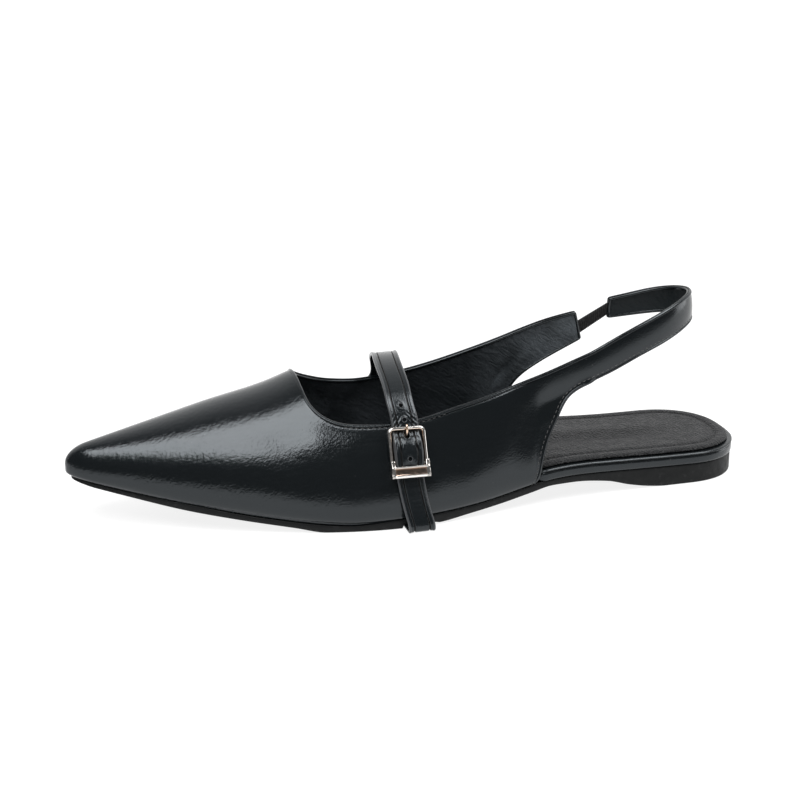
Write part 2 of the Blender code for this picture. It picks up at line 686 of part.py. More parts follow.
def make_band(finish, parent):
    curve, along = path_curve(band_path())
    rings = []
    for place in np.linspace(0, 1, BAND_STATIONS):
        x, y, z, skew = curve(place)
        ahead = curve(min(place + 0.002, 1.0))
        behind = curve(max(place - 0.002, 0.0))
        tangent = np.array([ahead[1] - behind[1], ahead[2] - behind[2]])
        tangent /= np.linalg.norm(tangent)
        normal = np.array([-tangent[1], tangent[0]]) * BAND_THICK / 2
        steps = np.linspace(-BAND_WIDTH / 2, BAND_WIDTH / 2, 4)
        outer = [(x + s, y + s * skew + normal[0], z + normal[1]) for s in steps]
        inner = [(x + s, y + s * skew - normal[0], z - normal[1]) for s in reversed(steps)]
        rings.append(outer + inner)
    return add_object("instep_strap", loft_mesh(rings), finish, parent)


def box_mesh(boxes):
    """Union of boxes given by their low and high corners, one closed body at a time."""
    meshes = []
    for low, high in boxes:
        mesh = bmesh.new()
        bmesh.ops.create_cube(mesh, size=1.0)
        size = np.array(high) - np.array(low)
        middle = (np.array(high) + np.array(low)) / 2
        for vertex in mesh.verts:
            vertex.co = (np.array(vertex.co) * size + middle) * MM
        meshes.append(mesh)
    return meshes


def corner_mesh(side):
    """Cutter that rounds one upper corner of the buckle's frame, at a side of -1 or 1."""
    radius = BUCKLE_CORNER
    centre_u = BUCKLE_WIDTH / 2 - radius
    centre_v = BUCKLE_HEIGHT / 2 - radius
    reach = radius + CORNER_MARGIN
    outline = [(radius * np.cos(turn), radius * np.sin(turn)) for turn in np.linspace(0, np.pi / 2, 7)]
    outline += [(0.0, reach), (reach, reach), (reach, 0.0)]
    heights = (HINGE_LOW - CORNER_MARGIN, KEEPER_HIGH + CORNER_MARGIN)
    return loft_mesh([[(side * (centre_u + u), centre_v + v, w) for u, v in outline] for w in heights])


def union_object(name, boxes, cuts, finish, parent):
    """One object joined from overlapping boxes, less its cuts, its edges eased."""
    first, *others = box_mesh(boxes)
    piece = add_object(name, first, finish, parent)
    steps = [("bar", "UNION", mesh) for mesh in others] + [("corner", "DIFFERENCE", mesh) for mesh in cuts]
    for i, (kind, operation, mesh) in enumerate(steps):
        cutter = add_object(f"{name}_{kind}_{i}", mesh, finish, parent)
        cutter.hide_render = True
        cutter.display_type = "WIRE"
        cutter.parent = piece
        join = piece.modifiers.new(f"{kind}_{i}", "BOOLEAN")
        join.operation = operation
        join.object = cutter
    ease = piece.modifiers.new("ease", "BEVEL")
    ease.width = BUCKLE_EASE * MM
    ease.segments = 2
    ease.limit_method = "ANGLE"
    return piece


def place_on_wall(piece):
    axes, origin = buckle_matrix()
    matrix = Matrix([[*axes[i], origin[i] * MM] for i in range(3)] + [[0, 0, 0, 1]])
    piece.matrix_local = matrix


def make_buckle(finish, parent):
    half_width = BUCKLE_WIDTH / 2
    half_height = BUCKLE_HEIGHT / 2
    inner = half_width - BUCKLE_BAR
    keeper_top = -half_height + KEEPER_HEIGHT
    ear_top = HINGE_V + HINGE_EAR
    hinge_low = HINGE_V - HINGE_BAR / 2
    hinge_top = HINGE_V + HINGE_BAR / 2
    keeper_low = KEEPER_HIGH - KEEPER_THICK
    boxes = [
        ((-half_width, half_height - BUCKLE_BAR, BUCKLE_LOW), (half_width, half_height, BUCKLE_HIGH)),
        ((-half_width, -half_height, BUCKLE_LOW), (-inner, half_height, BUCKLE_HIGH)),
        ((inner, -half_height, BUCKLE_LOW), (half_width, half_height, BUCKLE_HIGH)),
        ((-half_width, -half_height, keeper_low), (half_width, keeper_top, KEEPER_HIGH)),
        ((-half_width, -half_height, HINGE_LOW), (-inner, ear_top, KEEPER_HIGH)),
        ((inner, -half_height, HINGE_LOW), (half_width, ear_top, KEEPER_HIGH)),
        ((-half_width, hinge_low, HINGE_LOW), (half_width, hinge_top, HINGE_LOW + HINGE_BAR)),
    ]
    corners = [corner_mesh(side) for side in (-1, 1)]
    piece = union_object("buckle_frame", boxes, corners, finish, parent)
    place_on_wall(piece)
    return piece


def make_prong(finish, parent):
    """Prong: root by the hinge bar, rising through the band's hole, tip over the top bar."""
    curve, _ = path_curve(PRONG)
    half = PRONG_RADIUS
    rings = []
    for place in np.linspace(0, 1, 19):
        v, w = curve(place)
        ahead = curve(min(place + 0.01, 1.0))
        behind = curve(max(place - 0.01, 0.0))
        tangent = (ahead - behind) / np.linalg.norm(ahead - behind)
        normal = np.array([-tangent[1], tangent[0]]) * half
        rings.append([(np.cos(a) * half, v + normal[0] * np.sin(a), w + normal[1] * np.sin(a))
                      for a in np.linspace(0, 2 * np.pi, 9)[:-1]])
    piece = add_object("buckle_prong", loft_mesh(rings), finish, parent)
    place_on_wall(piece)
    return piece


def cut_prong_hole(band, parent, finish):
    """Hole in the band where the prong comes through."""
    mesh = bmesh.new()
    radius = PRONG_HOLE_RADIUS * MM
    bmesh.ops.create_cone(mesh, cap_ends=True, segments=16, radius1=radius, radius2=radius, depth=4 * MM)
    for vertex in mesh.verts:
        vertex.co.y *= PRONG_HOLE_STRETCH
    cutter = add_object("prong_hole", mesh, finish, parent)
    cutter.hide_render = True
    cutter.display_type = "WIRE"
    axes, origin = buckle_matrix()
    place = origin + axes[:, 1] * PRONG_HOLE_V + axes[:, 2] * BUCKLE_LOW
    cutter.matrix_local = Matrix([[*axes[i], place[i] * MM] for i in range(3)] + [[0, 0, 0, 1]])
    cut = band.modifiers.new("prong_hole", "BOOLEAN")
    cut.operation = "DIFFERENCE"
    cut.object = cutter


def main():
    for item in list(bpy.data.objects):
        bpy.data.objects.remove(item, do_unlink=True)
    shoe = bpy.data.objects.new("shoe", None)
    shoe.location = (0, FRAME_SHIFT_Y * MM, 0)
    bpy.context.scene.collection.objects.link(shoe)
    leather = material("glossy_black", (0.008, 0.008, 0.009), 0.18)
    rubber = material("sole_rubber", (0.02, 0.02, 0.021), 0.55)
    sock = material("insole_black", (0.03, 0.03, 0.031), 0.5)
    elastic = material("elastic_black", (0.012, 0.012, 0.013), 0.8)
    metal = material("polished_metal", (0.85, 0.82, 0.8), 0.12, 1.0)
    make_outsole(rubber, shoe)
    make_board(leather, shoe)
    make_insole(sock, shoe)
    make_upper(leather, shoe)
    make_elastic(elastic, shoe)
    band = make_band(leather, shoe)
    cut_prong_hole(band, shoe, leather)
    make_buckle(metal, shoe)
    make_prong(metal, shoe)


main()
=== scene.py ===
"""Looks of the glossy pointed slingback flat: leather, stitching, soles, band and buckle.

Tables and shape functions work in millimetres in the shoe's own frame, and meshes are made in metres.
"""
import bmesh
import bpy
import numpy as np
from mathutils import Matrix, Vector
from mathutils.bvhtree import BVHTree


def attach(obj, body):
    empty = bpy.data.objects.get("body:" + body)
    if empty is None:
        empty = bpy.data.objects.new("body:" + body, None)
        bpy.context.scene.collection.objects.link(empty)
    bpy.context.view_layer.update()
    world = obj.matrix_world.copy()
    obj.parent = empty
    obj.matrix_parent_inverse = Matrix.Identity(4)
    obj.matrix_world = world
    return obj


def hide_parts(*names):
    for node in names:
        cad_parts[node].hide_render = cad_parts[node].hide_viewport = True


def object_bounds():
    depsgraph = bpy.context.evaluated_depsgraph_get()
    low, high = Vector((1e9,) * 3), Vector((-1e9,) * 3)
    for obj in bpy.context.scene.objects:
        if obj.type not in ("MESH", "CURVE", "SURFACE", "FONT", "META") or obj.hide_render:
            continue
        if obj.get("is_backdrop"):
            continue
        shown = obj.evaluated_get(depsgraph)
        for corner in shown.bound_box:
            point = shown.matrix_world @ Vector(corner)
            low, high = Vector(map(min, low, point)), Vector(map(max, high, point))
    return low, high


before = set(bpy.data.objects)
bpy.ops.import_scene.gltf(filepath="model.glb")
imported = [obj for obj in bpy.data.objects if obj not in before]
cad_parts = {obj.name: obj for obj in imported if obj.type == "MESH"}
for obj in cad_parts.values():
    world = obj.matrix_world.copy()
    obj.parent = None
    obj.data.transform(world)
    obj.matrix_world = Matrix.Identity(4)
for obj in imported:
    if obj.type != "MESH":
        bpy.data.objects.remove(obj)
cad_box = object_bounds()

MM = 0.001
FRAME_SHIFT = np.array((0.0, 2.87, 0.0))     # shoe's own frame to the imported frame

# Camera, in millimetres and degrees
CAMERA_TARGET = (-4.3, 3.2, 35.7)
CAMERA_AZIMUTH = -16.5
CAMERA_ELEVATION = 18.0
CAMERA_DISTANCE = 650.0
CAMERA_LENS = 75.0
CAMERA_SENSOR = 36.0

# Sizes of the shoe in millimetres
GAP = 0.3
WALL = 1.6
NOSE_X = -134.0
NOSE_Z = 21.6
NOSE_LENGTH = 9.0
NOSE_ROUND = 2.5
SOLE_TOE_X = -131.9
SOLE_TOE_LENGTH = 8.0
HEEL_X = 133.6
HEEL_LENGTH = 27.0
HEEL_ROUND = 2.3
FEATHER_INSET = 0.6
TOE_TUCK = 3.2
TOE_TUCK_LENGTH = 26.0
BULGE_SHARE = 0.3
RIDGE_ROUND = 8.0              # rounding of the ridge's section
RIDGE_ROUND_MOST = 0.45        # the same, as the most of the section's half width
RIDGE_LEAST = 0.1              # least half width that the rounding is taken for
STRAP_TURN = (30.0, 50.0)      # x range over which the lateral wall turns upright
STRAP_TURN_HEIGHT = 13.0
STRAP_TURN_FADE = 0.35
THROAT_X = -47.3
THROAT_LEAN = 8.0

BOARD_THIN = 2.6
BOARD_THICK = 4.5
BOARD_RAMP = (0.0, 40.0)
BOARD_INSET = -0.3
BOARD_HIDDEN_INSET = 2.7
BOARD_STEP = (40.2, 43.0)
BOARD_TOE_GAP = 5.0
INSOLE_INSET = 1.5

SLING_START_X = 64.0
SLING_RUN_IN = 8.0             # how far ahead of its start the strap's path is led by the wall
SLING_END = 0.995
SLING_LEAN = 0.8
SLING_CROWN = 0.55
SLING_LOOK = 0.005             # share of its path by which its direction is taken
ELASTIC_THICK = 1.0
ELASTIC_LEAN = 0.6

BAND_WIDTH = 10.4
BAND_THICK = 1.1
BAND_FLOOR = 0.05
BAND_BEND = 0.8
BAND_FLARE = 2.9
BAND_FLARE_Z = 20.0
BAND_FLARE_STEP = 0.3
BAND_LEAN = (-0.5, 0.75, 4.5)  # its lean above the bend: along, inwards, height
BAND_STAND_OFF = 0.35
BAND_LIFT_Z = 9.5
BAND_OFF = BAND_STAND_OFF + BAND_THICK / 2     # middle of the band from the wall
BAND_LOW = BAND_FLOOR + BAND_THICK / 2         # and from the floor
BAND_BEND_ANGLES = (22.5, 45, 67.5, 90)
BAND_UNDER_STEPS = 5
WALL_STEP = 4.0                # half the run over which the wall's direction is taken
SHARE_STEP = 0.01              # and the step up the wall for its normal

BUCKLE_X = -13.2
BUCKLE_Z = 28.4
BUCKLE_WIDTH = 14.4
BUCKLE_HEIGHT = 19.0
BUCKLE_BAR = 1.45
KEEPER_HEIGHT = 4.2
KEEPER_HIGH = 4.4
KEEPER_THICK = 1.0
HINGE_V = -4.4
HINGE_LOW = 0.35
HINGE_BAR = 1.1
HINGE_EAR = 1.2
HINGE_END_IN = 0.1             # hinge bar's ends, in from the frame's outer edge
EAR_DROP = 0.08                # ears below the keeper's face
PRONG_RADIUS = 0.45
PRONG_HOLE_V = 6.1

# Widest outline of the last and its ridge, a row for each section
LAST_COLUMNS = ("x", "bulge_z", "lateral", "medial", "ridge_y", "ridge_z", "fullness")
LAST = (
    (-134, 19.6, 0.0, 10.0, 5.0, 27.6, 2.00),
    (-115, 18.2, -9.5, 17.5, 4.3, 32.5, 1.95),
    (-95, 15.4, -19.0, 25.5, 3.3, 37.8, 1.90),
    (-75, 12.9, -27.5, 31.5, 2.3, 43.2, 1.85),
    (-55, 10.3, -34.5, 36.3, 1.2, 48.6, 1.76),
    (-47, 9.3, -36.9, 37.7, 0.9, 51.8, 1.71),
    (-35, 8.4, -39.5, 39.0, 0.5, 56.0, 1.64),
    (-15, 8.8, -41.5, 38.5, 0.0, 63.0, 1.55),
    (5, 10.2, -40.0, 35.0, 0.0, 72.0, 1.50),
    (25, 12.6, -36.3, 31.0, 0.0, 80.0, 1.50),
    (45, 12.8, -32.5, 28.0, 0.0, 88.0, 1.50),
    (65, 18.0, -30.0, 26.5, 0.0, 96.0, 1.50),
    (85, 26.0, -28.4, 25.8, 0.0, 104.0, 1.50),
)

# Outsole's edges and upper face, a row for each section
SOLE_COLUMNS = ("x", "lateral", "medial", "middle", "top_z")
SOLE = (
    (-132, 0.0, 9.6, 5.0, 17.9),
    (-115, -7.2, 15.4, 4.2, 13.8),
    (-95, -17.6, 23.8, 3.1, 10.5),
    (-75, -26.1, 29.9, 2.0, 7.7),
    (-55, -33.1, 34.8, 1.0, 4.9),
    (-35, -38.2, 37.6, 0.0, 3.1),
    (-15, -40.2, 37.1, 0.0, 3.6),
    (5, -38.7, 33.6, 0.0, 4.4),
    (25, -35.0, 29.6, 0.0, 6.3),
    (45, -31.3, 26.9, 0.0, 9.2),
    (65, -28.8, 25.8, 0.0, 9.3),
    (85, -27.4, 25.8, 0.0, 8.4),
    (105, -27.0, 26.4, 0.0, 8.0),
    (133, -27.0, 26.4, 0.0, 7.9),
)

# Outsole's underside along the shoe: toe spring, tread, place for the band, arch, heel
UNDER = (
    (-132, 16.1), (-115, 11.9), (-95, 7.9), (-75, 4.7), (-55, 1.8), (-44, 0.0), (-16.05, 0.0),
    (-15.5, 1.42), (-4.0, 1.42), (-2.6, 0.5), (10, 1.8), (25, 3.5), (38, 5.5), (47, 6.9), (56, 6.8),
    (71, 5.1), (81, 2.3), (90, 0.6), (97, 0.0), (133, 0.0),
)

# Top line of the upper from the throat back
COLLAR_LATERAL = (
    (-47.1, 49.4), (-46.7, 47.2), (-45.9, 44.9), (-44.4, 42.9), (-42.2, 41.1), (-39.0, 39.5), (-34.5, 38.4),
    (-28, 37.9), (-18, 38.0), (-7, 38.9), (5, 41.4), (20, 44.4), (35, 48.0), (50, 52.1), (64, 56.5),
)
COLLAR_MEDIAL = (
    (-46.0, 49.3), (-43.9, 47.1), (-40.4, 44.6), (-35.5, 42.2), (-30, 40.1), (-24, 38.8), (-16, 37.9),
    (-6, 38.8), (5, 40.9), (20, 45.0), (35, 50.0), (50, 55.4), (62, 59.0), (74.5, 61.3),
)

# Rear edge of each quarter, from the sole up to the strap or wing
REAR_LATERAL = (
    (40.1, 11), (41.7, 17), (44, 24.1), (47.8, 31.3), (50.4, 36), (53.4, 40.1), (58.6, 43.6), (64, 45.4),
)
REAR_MEDIAL = ((40.4, 12), (45, 22), (49.4, 30.5), (54.2, 36.2), (60, 40.2), (69, 44.9), (78.3, 49.3))
REAR_FOOT_X = {"lateral": 38.4, "medial": 36.5}
REAR_SEARCH = (0.3, 1.0, 141)  # shares of the collar among which the rear edge's start is looked for

# Sling strap round the heel: x and y of its middle line in plan, z of its lower and upper edge
SLING = (
    (72, -23.9, 48.2, 59.9),
    (85, -22.0, 53.2, 65.0),
    (97, -18.9, 57.0, 68.9),
    (106.8, -14.0, 60.0, 71.6),
    (113.9, -7.0, 61.8, 72.9),
    (116.4, 1.0, 62.2, 72.9),
    (113.9, 8.6, 61.5, 72.0),
    (106.8, 14.5, 60.2, 70.4),
    (97, 18.0, 58.8, 68.0),
    (88.6, 19.8, 57.8, 66.2),
)

# Elastic ribbon's ends, x and z of the top and bottom corner
ELASTIC_FRONT = ((76.3, 57.2), (78.0, 51.7))
ELASTIC_BACK = ((88.2, 64.1), (88.2, 58.5))

# Free arch of the band over the instep from the medial collar to the buckle: y, z, x
ARCH = (
    (26.2, 46.0, -5.0),
    (18.5, 50.6, -7.0),
    (8.0, 53.6, -9.2),
    (-2.0, 54.2, -11.2),
    (-12.0, 52.4, -12.4),
    (-21.0, 48.9, -13.0),
    (-27.6, 44.4, -13.4),
)
BAND_X = {"fixed": -13.5, "lateral_low": -10.0, "medial_low": -9.6, "medial_collar": -4.2}
BAND_MEDIAL_HEIGHTS = (10.0, 17, 24, 31, 36, 38.5)
BAND_UNDER_Y = (-38.0, 34.0)

# Band's free end through the buckle: place along the frame, inner face above the upper
TAIL = ((11.4, -0.3), (8.6, -0.05), (6.2, 0.75), (3.6, 1.65), (-0.5, 1.95), (-4.4, 1.85), (-8.9, 1.85))

# Prong from by the hinge bar to its tip over the top bar: place along the frame, height above the upper
PRONG = ((-3.5, 0.7), (0.0, 0.7), (3.4, 0.7), (5.2, 1.1), (7.0, 2.9), (8.4, 3.65), (10.2, 3.5))

# Detail sizes in millimetres
RIM_STITCH_IN = (0.95, 1.5)    # stitch row's place inside the edge: along the collar, at rear cuts
RIM_STITCH_PITCH = 2.1
RIM_STITCH_LENGTH = 1.55
RIM_STITCH_COLLAR_X = (-36.0, 4.0)     # part of the collar where they show
COLLAR_FACES_UP = 0.3          # an edge that faces up more than this is the collar's
STITCH_SIDES = 8
STITCH_SHARES = (-1.0, -0.9, -0.65, -0.25, 0.25, 0.65, 0.9, 1.0)     # along half its length
STITCH_END = 0.02              # square of a stitch's size at its ends
STITCH_DIVE = 0.9              # how far its ends go down, in radii
THREAD_RADIUS = 0.17
FEATHER_DROP = 0.5             # upper's lower edge pulled down on to the sole
SOLE_SLIM = 0.9                # and further down over its side under the ball of the foot
SOLE_SLIM_X = (-98.0, -70.0, -34.0, -17.5)
SOCK_STITCH_IN = 5.0           # insole's stitch row inside its edge
SOCK_STITCH_PITCH = 2.9
SOCK_STITCH_HIGH = 0.95        # its height above the board
SOCK_STITCH_LENGTH = 2.1
SOCK_STITCH_X = 15.0           # where it begins to show, behind the quarters
BAND_GROOVE_S = 2.95           # stitch grooves either side of the band's middle
BAND_GROOVE_DEPTH = 0.5
BAND_GROOVE_WIDTH = 0.24
BAND_GROOVE_SHADE_HALF_WIDTH = 0.25        # half width of the groove's floor that is painted dark, a painted shade
BAND_BEAD = 0.25               # height of the band's rolled edges
BAND_BEAD_S = 4.7              # their place from the middle
BAND_BEAD_WIDTH = 0.4
BAND_EDGE = 0.55               # width over which the edges round off
BAND_EDGE_LEFT = 0.25          # share of the thickness left at the very edge
BAND_BORDER_S = 4.42           # where the paler leather of its borders begins
BAND_PILLOW = 1.1              # how far the band bulges inside the buckle
BAND_SPREAD = 0.07             # share by which it widens there
BAND_OPENING_V = (5.6, -5.2)   # that opening, along the buckle's frame
BAND_OPENING_POWER = 0.6       # how fast the bulge fills it
BAND_STITCH_GAP = (0.16, 0.42)         # shares of its length between which no stitch shows
BAND_STITCH_FIRST = 1.5
BAND_STITCH_LAST = 1.0
BAND_STITCH_PITCH = 2.3
BAND_STITCH_LOOK = 0.5         # step by which a stitch's direction is taken
BAND_STITCH_HIGH = 0.02
BAND_STITCH_LENGTH = 1.6
BAND_STITCH_RADIUS = 0.1
BAND_HOLE_RADIUS = 0.75
BAND_HOLES = (-11.6, -6.1, 8.9)        # places from the hole that the prong is in
BAND_HOLE_RIM = 0.16           # height of the pressed-up leather round a hole
BAND_HOLE_RIM_AT = (1.15, 0.35)        # its radius and half width
HOLE_CUT = 5.0                 # length of the punch; the hole inside the buckle goes half way down
HOLE_RING = (0.95, 0.17)       # radius and half thickness of a hole's paler rim
HOLE_RING_SINK = 0.3           # how far it lies down in the leather, in half thicknesses
HOLE_RING_SIDES = 8
HOLE_SIDES = 28
PRONG_HOLE_WIDER = 1.4         # the prong's hole beside the others
PRONG_HOLE_LONGER = 1.6

# Folded edge: outwards from the wall's outer face, and beyond the wall's edge
RIM_PROFILE = (
    (-0.12, -0.8), (0.18, -0.74), (0.33, -0.5), (0.33, -0.34), (0.22, 0.06), (-0.06, 0.38), (-0.26, 0.48),
    (-0.48, 0.4), (-0.62, 0.12), (-0.68, -0.15), (-0.76, -0.15), (-0.84, 0.1), (-1.02, 0.36), (-1.32, 0.44),
    (-1.62, 0.3), (-1.8, 0.0), (-1.86, -0.4), (-1.8, -0.75), (-1.4, -0.8), (-0.8, -0.8),
)

# Board's shown edge: outwards from its outline, share of its height; the roll on top stands out most
RAND_PROFILE = (
    (-0.5, 0.0), (-0.08, 0.02), (0.02, 0.16), (0.06, 0.36), (0.03, 0.56), (-0.08, 0.69), (-0.5, 0.76),
    (-0.5, 0.8), (-0.04, 0.83), (0.2, 0.86), (0.26, 0.905), (0.2, 0.925), (-0.14, 0.992), (-0.3, 1.0),
    (-0.5, 1.0),
)
RAND_WAVES = ((23.0, 0.06), (9.0, 0.05), (5.3, 0.03))    # length and height of its unevenness
RAND_ROLL = (0.79, 0.06)       # share of its height where the uneven roll begins, and its fade
RIPPLE_PHASE = 1.7             # from one wave to the next

# Outsole's side: outwards from its outline, height from the bottom, depth below the top
SOLE_SIDE_DISH = 0.1           # its upper face lies lower than its lip
TREAD_INSET = 2.0              # first ring of the lower face, in from the outline
FACE_INSET = 1.6               # and of the upper face
SOLE_SIDE_LOW = ((-0.75, 0.0), (-0.3, 0.1), (-0.06, 0.38), (0.0, 0.8))
SOLE_SIDE_HIGH = ((0.0, 1.1), (-0.01, 0.55), (-0.06, 0.2), (-0.18, -0.05), (-0.38, -0.18), (-0.66, -0.2))


class Curve:
    """Natural cubic spline of one or more columns over an increasing parameter."""

    def __init__(self, knots, values):
        self.knots = np.asarray(knots, float)
        self.values = np.asarray(values, float)
        self.step = np.diff(self.knots)
        size = len(self.knots)
        matrix = np.eye(size)
        right = np.zeros_like(self.values)
        for i in range(1, size - 1):
            before = self.step[i - 1]
            after = self.step[i]
            matrix[i, i - 1:i + 2] = before, 2 * (before + after), after
            rise = (self.values[i + 1] - self.values[i]) / after
            right[i] = 6 * (rise - (self.values[i] - self.values[i - 1]) / before)
        self.bend = np.linalg.solve(matrix, right)

    def __call__(self, place):
        i = int(np.clip(np.searchsorted(self.knots, place) - 1, 0, len(self.step) - 1))
        h = self.step[i]
        left = self.knots[i + 1] - place
        right = place - self.knots[i]
        cubic = (self.bend[i] * left ** 3 + self.bend[i + 1] * right ** 3) / (6 * h)
        low = (self.values[i] / h - self.bend[i] * h / 6) * left
        high = (self.values[i + 1] / h - self.bend[i + 1] * h / 6) * right
        return cubic + low + high


def distances(points):
    """Distance along a row of points, from 0 at the first."""
    return np.concatenate([[0], np.cumsum(np.linalg.norm(np.diff(points, axis=0), axis=1))])


def path_curve(points):
    """Spline through points, by the distance along them from 0 to 1."""
    points = np.asarray(points, float)
    along = distances(points)
    return Curve(along / along[-1], points), along / along[-1]


def level_curve(rows):
    """Shape-keeping cubic through rows of (x, z): level stretches stay exactly level."""
    x, z = np.array(rows, float).T
    slope = np.diff(z) / np.diff(x)
    tangent = np.zeros_like(z)
    for i in range(1, len(x) - 1):
        if slope[i - 1] * slope[i] > 0:
            tangent[i] = 2 * slope[i - 1] * slope[i] / (slope[i - 1] + slope[i])
    tangent[0] = slope[0]
    tangent[-1] = slope[-1]

    def value(place):
        i = int(np.clip(np.searchsorted(x, place) - 1, 0, len(x) - 2))
        h = x[i + 1] - x[i]
        t = (place - x[i]) / h
        start = (1 + 2 * t) * (1 - t) ** 2 * z[i] + t * (1 - t) ** 2 * h * tangent[i]
        end = t * t * (3 - 2 * t) * z[i + 1] + t * t * (t - 1) * h * tangent[i + 1]
        return start + end

    return value


def table_curves(columns, rows):
    """One curve for each named column, over the first column."""
    data = np.array(rows, float)
    return {name: Curve(data[:, 0], data[:, i]) for i, name in enumerate(columns)}


last = table_curves(LAST_COLUMNS, LAST)
sole = table_curves(SOLE_COLUMNS, SOLE)
under = level_curve(UNDER)


def quarter_round(share, power=2.0):
    """Rounding of an outline's end: 0 at its tip, 1 where it is full."""
    share = min(max(share, 0.0), 1.0)
    return (1 - (1 - share) ** power) ** (1 / power)


def smooth_step(share):
    share = np.clip(share, 0.0, 1.0)
    return share * share * (3 - 2 * share)


def ramp(place, start, end):
    """Smooth step from 0 at start to 1 at end."""
    return smooth_step((place - start) / (end - start))


def bell(distance, width):
    """Soft bump: 1 in the middle, fading over its width."""
    return np.exp(-(np.asarray(distance) / width) ** 2)


def unit(vector):
    """Vector, or rows of vectors, of length 1 in the same direction."""
    return vector / np.linalg.norm(vector, axis=-1, keepdims=True)


def side_sign(side):
    return -1.0 if side == "lateral" else 1.0


def sole_edge(x, side, inset=0.0, toe=SOLE_TOE_X, heel=HEEL_X):
    """Edge of the outsole, or of an outline inside it, at section x."""
    middle = sole["middle"](x)
    reach = sole[side](x) - middle - side_sign(side) * inset
    rounding = quarter_round((x - toe) / SOLE_TOE_LENGTH)
    rounding *= quarter_round((heel - x) / HEEL_LENGTH, HEEL_ROUND)
    return middle + reach * rounding


def feather_point(x, side):
    """Lower edge of the upper for the section whose widest line is at x."""
    tuck = TOE_TUCK * max(0.0, 1 - (x - NOSE_X) / TOE_TUCK_LENGTH) ** 2
    foot = x + tuck
    toe = NOSE_X + TOE_TUCK
    return foot, sole_edge(foot, side, FEATHER_INSET, toe), sole["top_z"](foot) + GAP


def section(x, side):
    """Ridge and widest point of the last's section, with its fullness."""
    rounding = quarter_round((x - NOSE_X) / NOSE_LENGTH, NOSE_ROUND)
    ridge_y = last["ridge_y"](x)
    bulge_y = ridge_y + (last[side](x) - ridge_y) * rounding
    ridge_z = NOSE_Z + (last["ridge_z"](x) - NOSE_Z) * rounding
    return ridge_y, ridge_z, bulge_y, last["bulge_z"](x), last["fullness"](x)


def ridge_blunting(half_width, fullness):
    """Rounding of the ridge as a share of the half width, and the rise it leaves at the top."""
    blunt = min(RIDGE_ROUND / max(abs(half_width), RIDGE_LEAST), RIDGE_ROUND_MOST)
    held = blunt / np.sqrt(1 + blunt ** 2)
    return blunt, (1 - held ** fullness) ** (1 / fullness)


def last_point(x, share, side):
    """Point of the upper's outer face: share 0 at the sole, 1 on the ridge."""
    ridge_y, ridge_z, bulge_y, bulge_z, fullness = section(x, side)
    if share < BULGE_SHARE:
        foot_x, foot_y, foot_z = feather_point(x, side)
        angle = share / BULGE_SHARE * np.pi / 2
        out = np.sin(angle)
        z = bulge_z - (bulge_z - foot_z) * np.cos(angle)
        return foot_x + (x - foot_x) * out, foot_y + (bulge_y - foot_y) * out, z
    angle = (share - BULGE_SHARE) / (1 - BULGE_SHARE) * np.pi / 2
    out = max(np.cos(angle), 0.0) ** (2 / fullness)
    blunt, top = ridge_blunting(bulge_y - ridge_y, fullness)
    held = np.sqrt((out ** 2 + blunt ** 2) / (1 + blunt ** 2))
    rise = (1 - held ** fullness) ** (1 / fullness) / top
    return x, ridge_y + (bulge_y - ridge_y) * out, bulge_z + (ridge_z - bulge_z) * rise


def height_share(x, z, side):
    """Share of the wall, as last_point takes it, at height z of section x."""
    ridge_y, ridge_z, bulge_y, bulge_z, fullness = section(x, side)
    if z < bulge_z:
        foot_z = feather_point(x, side)[2]
        drop = min((bulge_z - z) / (bulge_z - foot_z), 1.0)
        return BULGE_SHARE * np.arccos(drop) / (np.pi / 2)
    blunt, top = ridge_blunting(bulge_y - ridge_y, fullness)
    rise = min((z - bulge_z) / (ridge_z - bulge_z), 1.0) * top
    held = (1 - rise ** fullness) ** (1 / fullness)
    out = np.sqrt(max(held ** 2 * (1 + blunt ** 2) - blunt ** 2, 0.0))
    return BULGE_SHARE + (1 - BULGE_SHARE) * np.arccos(min(out, 1.0) ** (fullness / 2)) / (np.pi / 2)


def wall_point(x, z, side, out=0.0):
    """Point at height z of section x, moved out from the upper's outer face."""
    share = height_share(x, z, side)
    here = np.array(last_point(x, share, side))
    above = np.array(last_point(x, share + SHARE_STEP, side)) - here
    normal = np.array([0.0, -above[2], above[1]])
    normal *= -side_sign(side) / np.linalg.norm(normal)
    return here + out * normal


def wall_run(x, z, side, along_x, along_z):
    """Step along the wall between two places equally far either side of (x, z)."""
    ahead = wall_point(x + along_x, z + along_z, side)
    behind = wall_point(x - along_x, z - along_z, side)
    return ahead - behind


def collar_curve():
    """Top line as (x, share): lateral end, throat, medial end; shares past the ridge count on."""
    rows = []
    for x, z in reversed(COLLAR_LATERAL):
        share = height_share(x, z, "lateral")
        rows.append((x, share, last_point(x, share, "lateral")))
    rows.append((THROAT_X, 1.0, last_point(THROAT_X, 1.0, "lateral")))
    for x, z in COLLAR_MEDIAL:
        share = height_share(x, z, "medial")
        rows.append((x, 2 - share, last_point(x, share, "medial")))
    along = distances(np.array([row[2] for row in rows]))
    throat = along[len(COLLAR_LATERAL)]
    curve = Curve(along, np.array([row[:2] for row in rows]))
    return curve, along[0] - throat, along[-1] - throat, throat


def strap_height(x):
    """Heights of the lateral wall's lower and upper edge where it runs out into the strap."""
    return np.interp(x, *np.array(REAR_LATERAL).T), np.interp(x, *np.array(COLLAR_LATERAL[5:]).T)


def sling_lean(f):
    """How far the strap's outer face lies inwards, lower edge 0, upper edge 1."""
    return SLING_LEAN * (f - 0.5) + SLING_CROWN * (2 * f - 1) ** 2


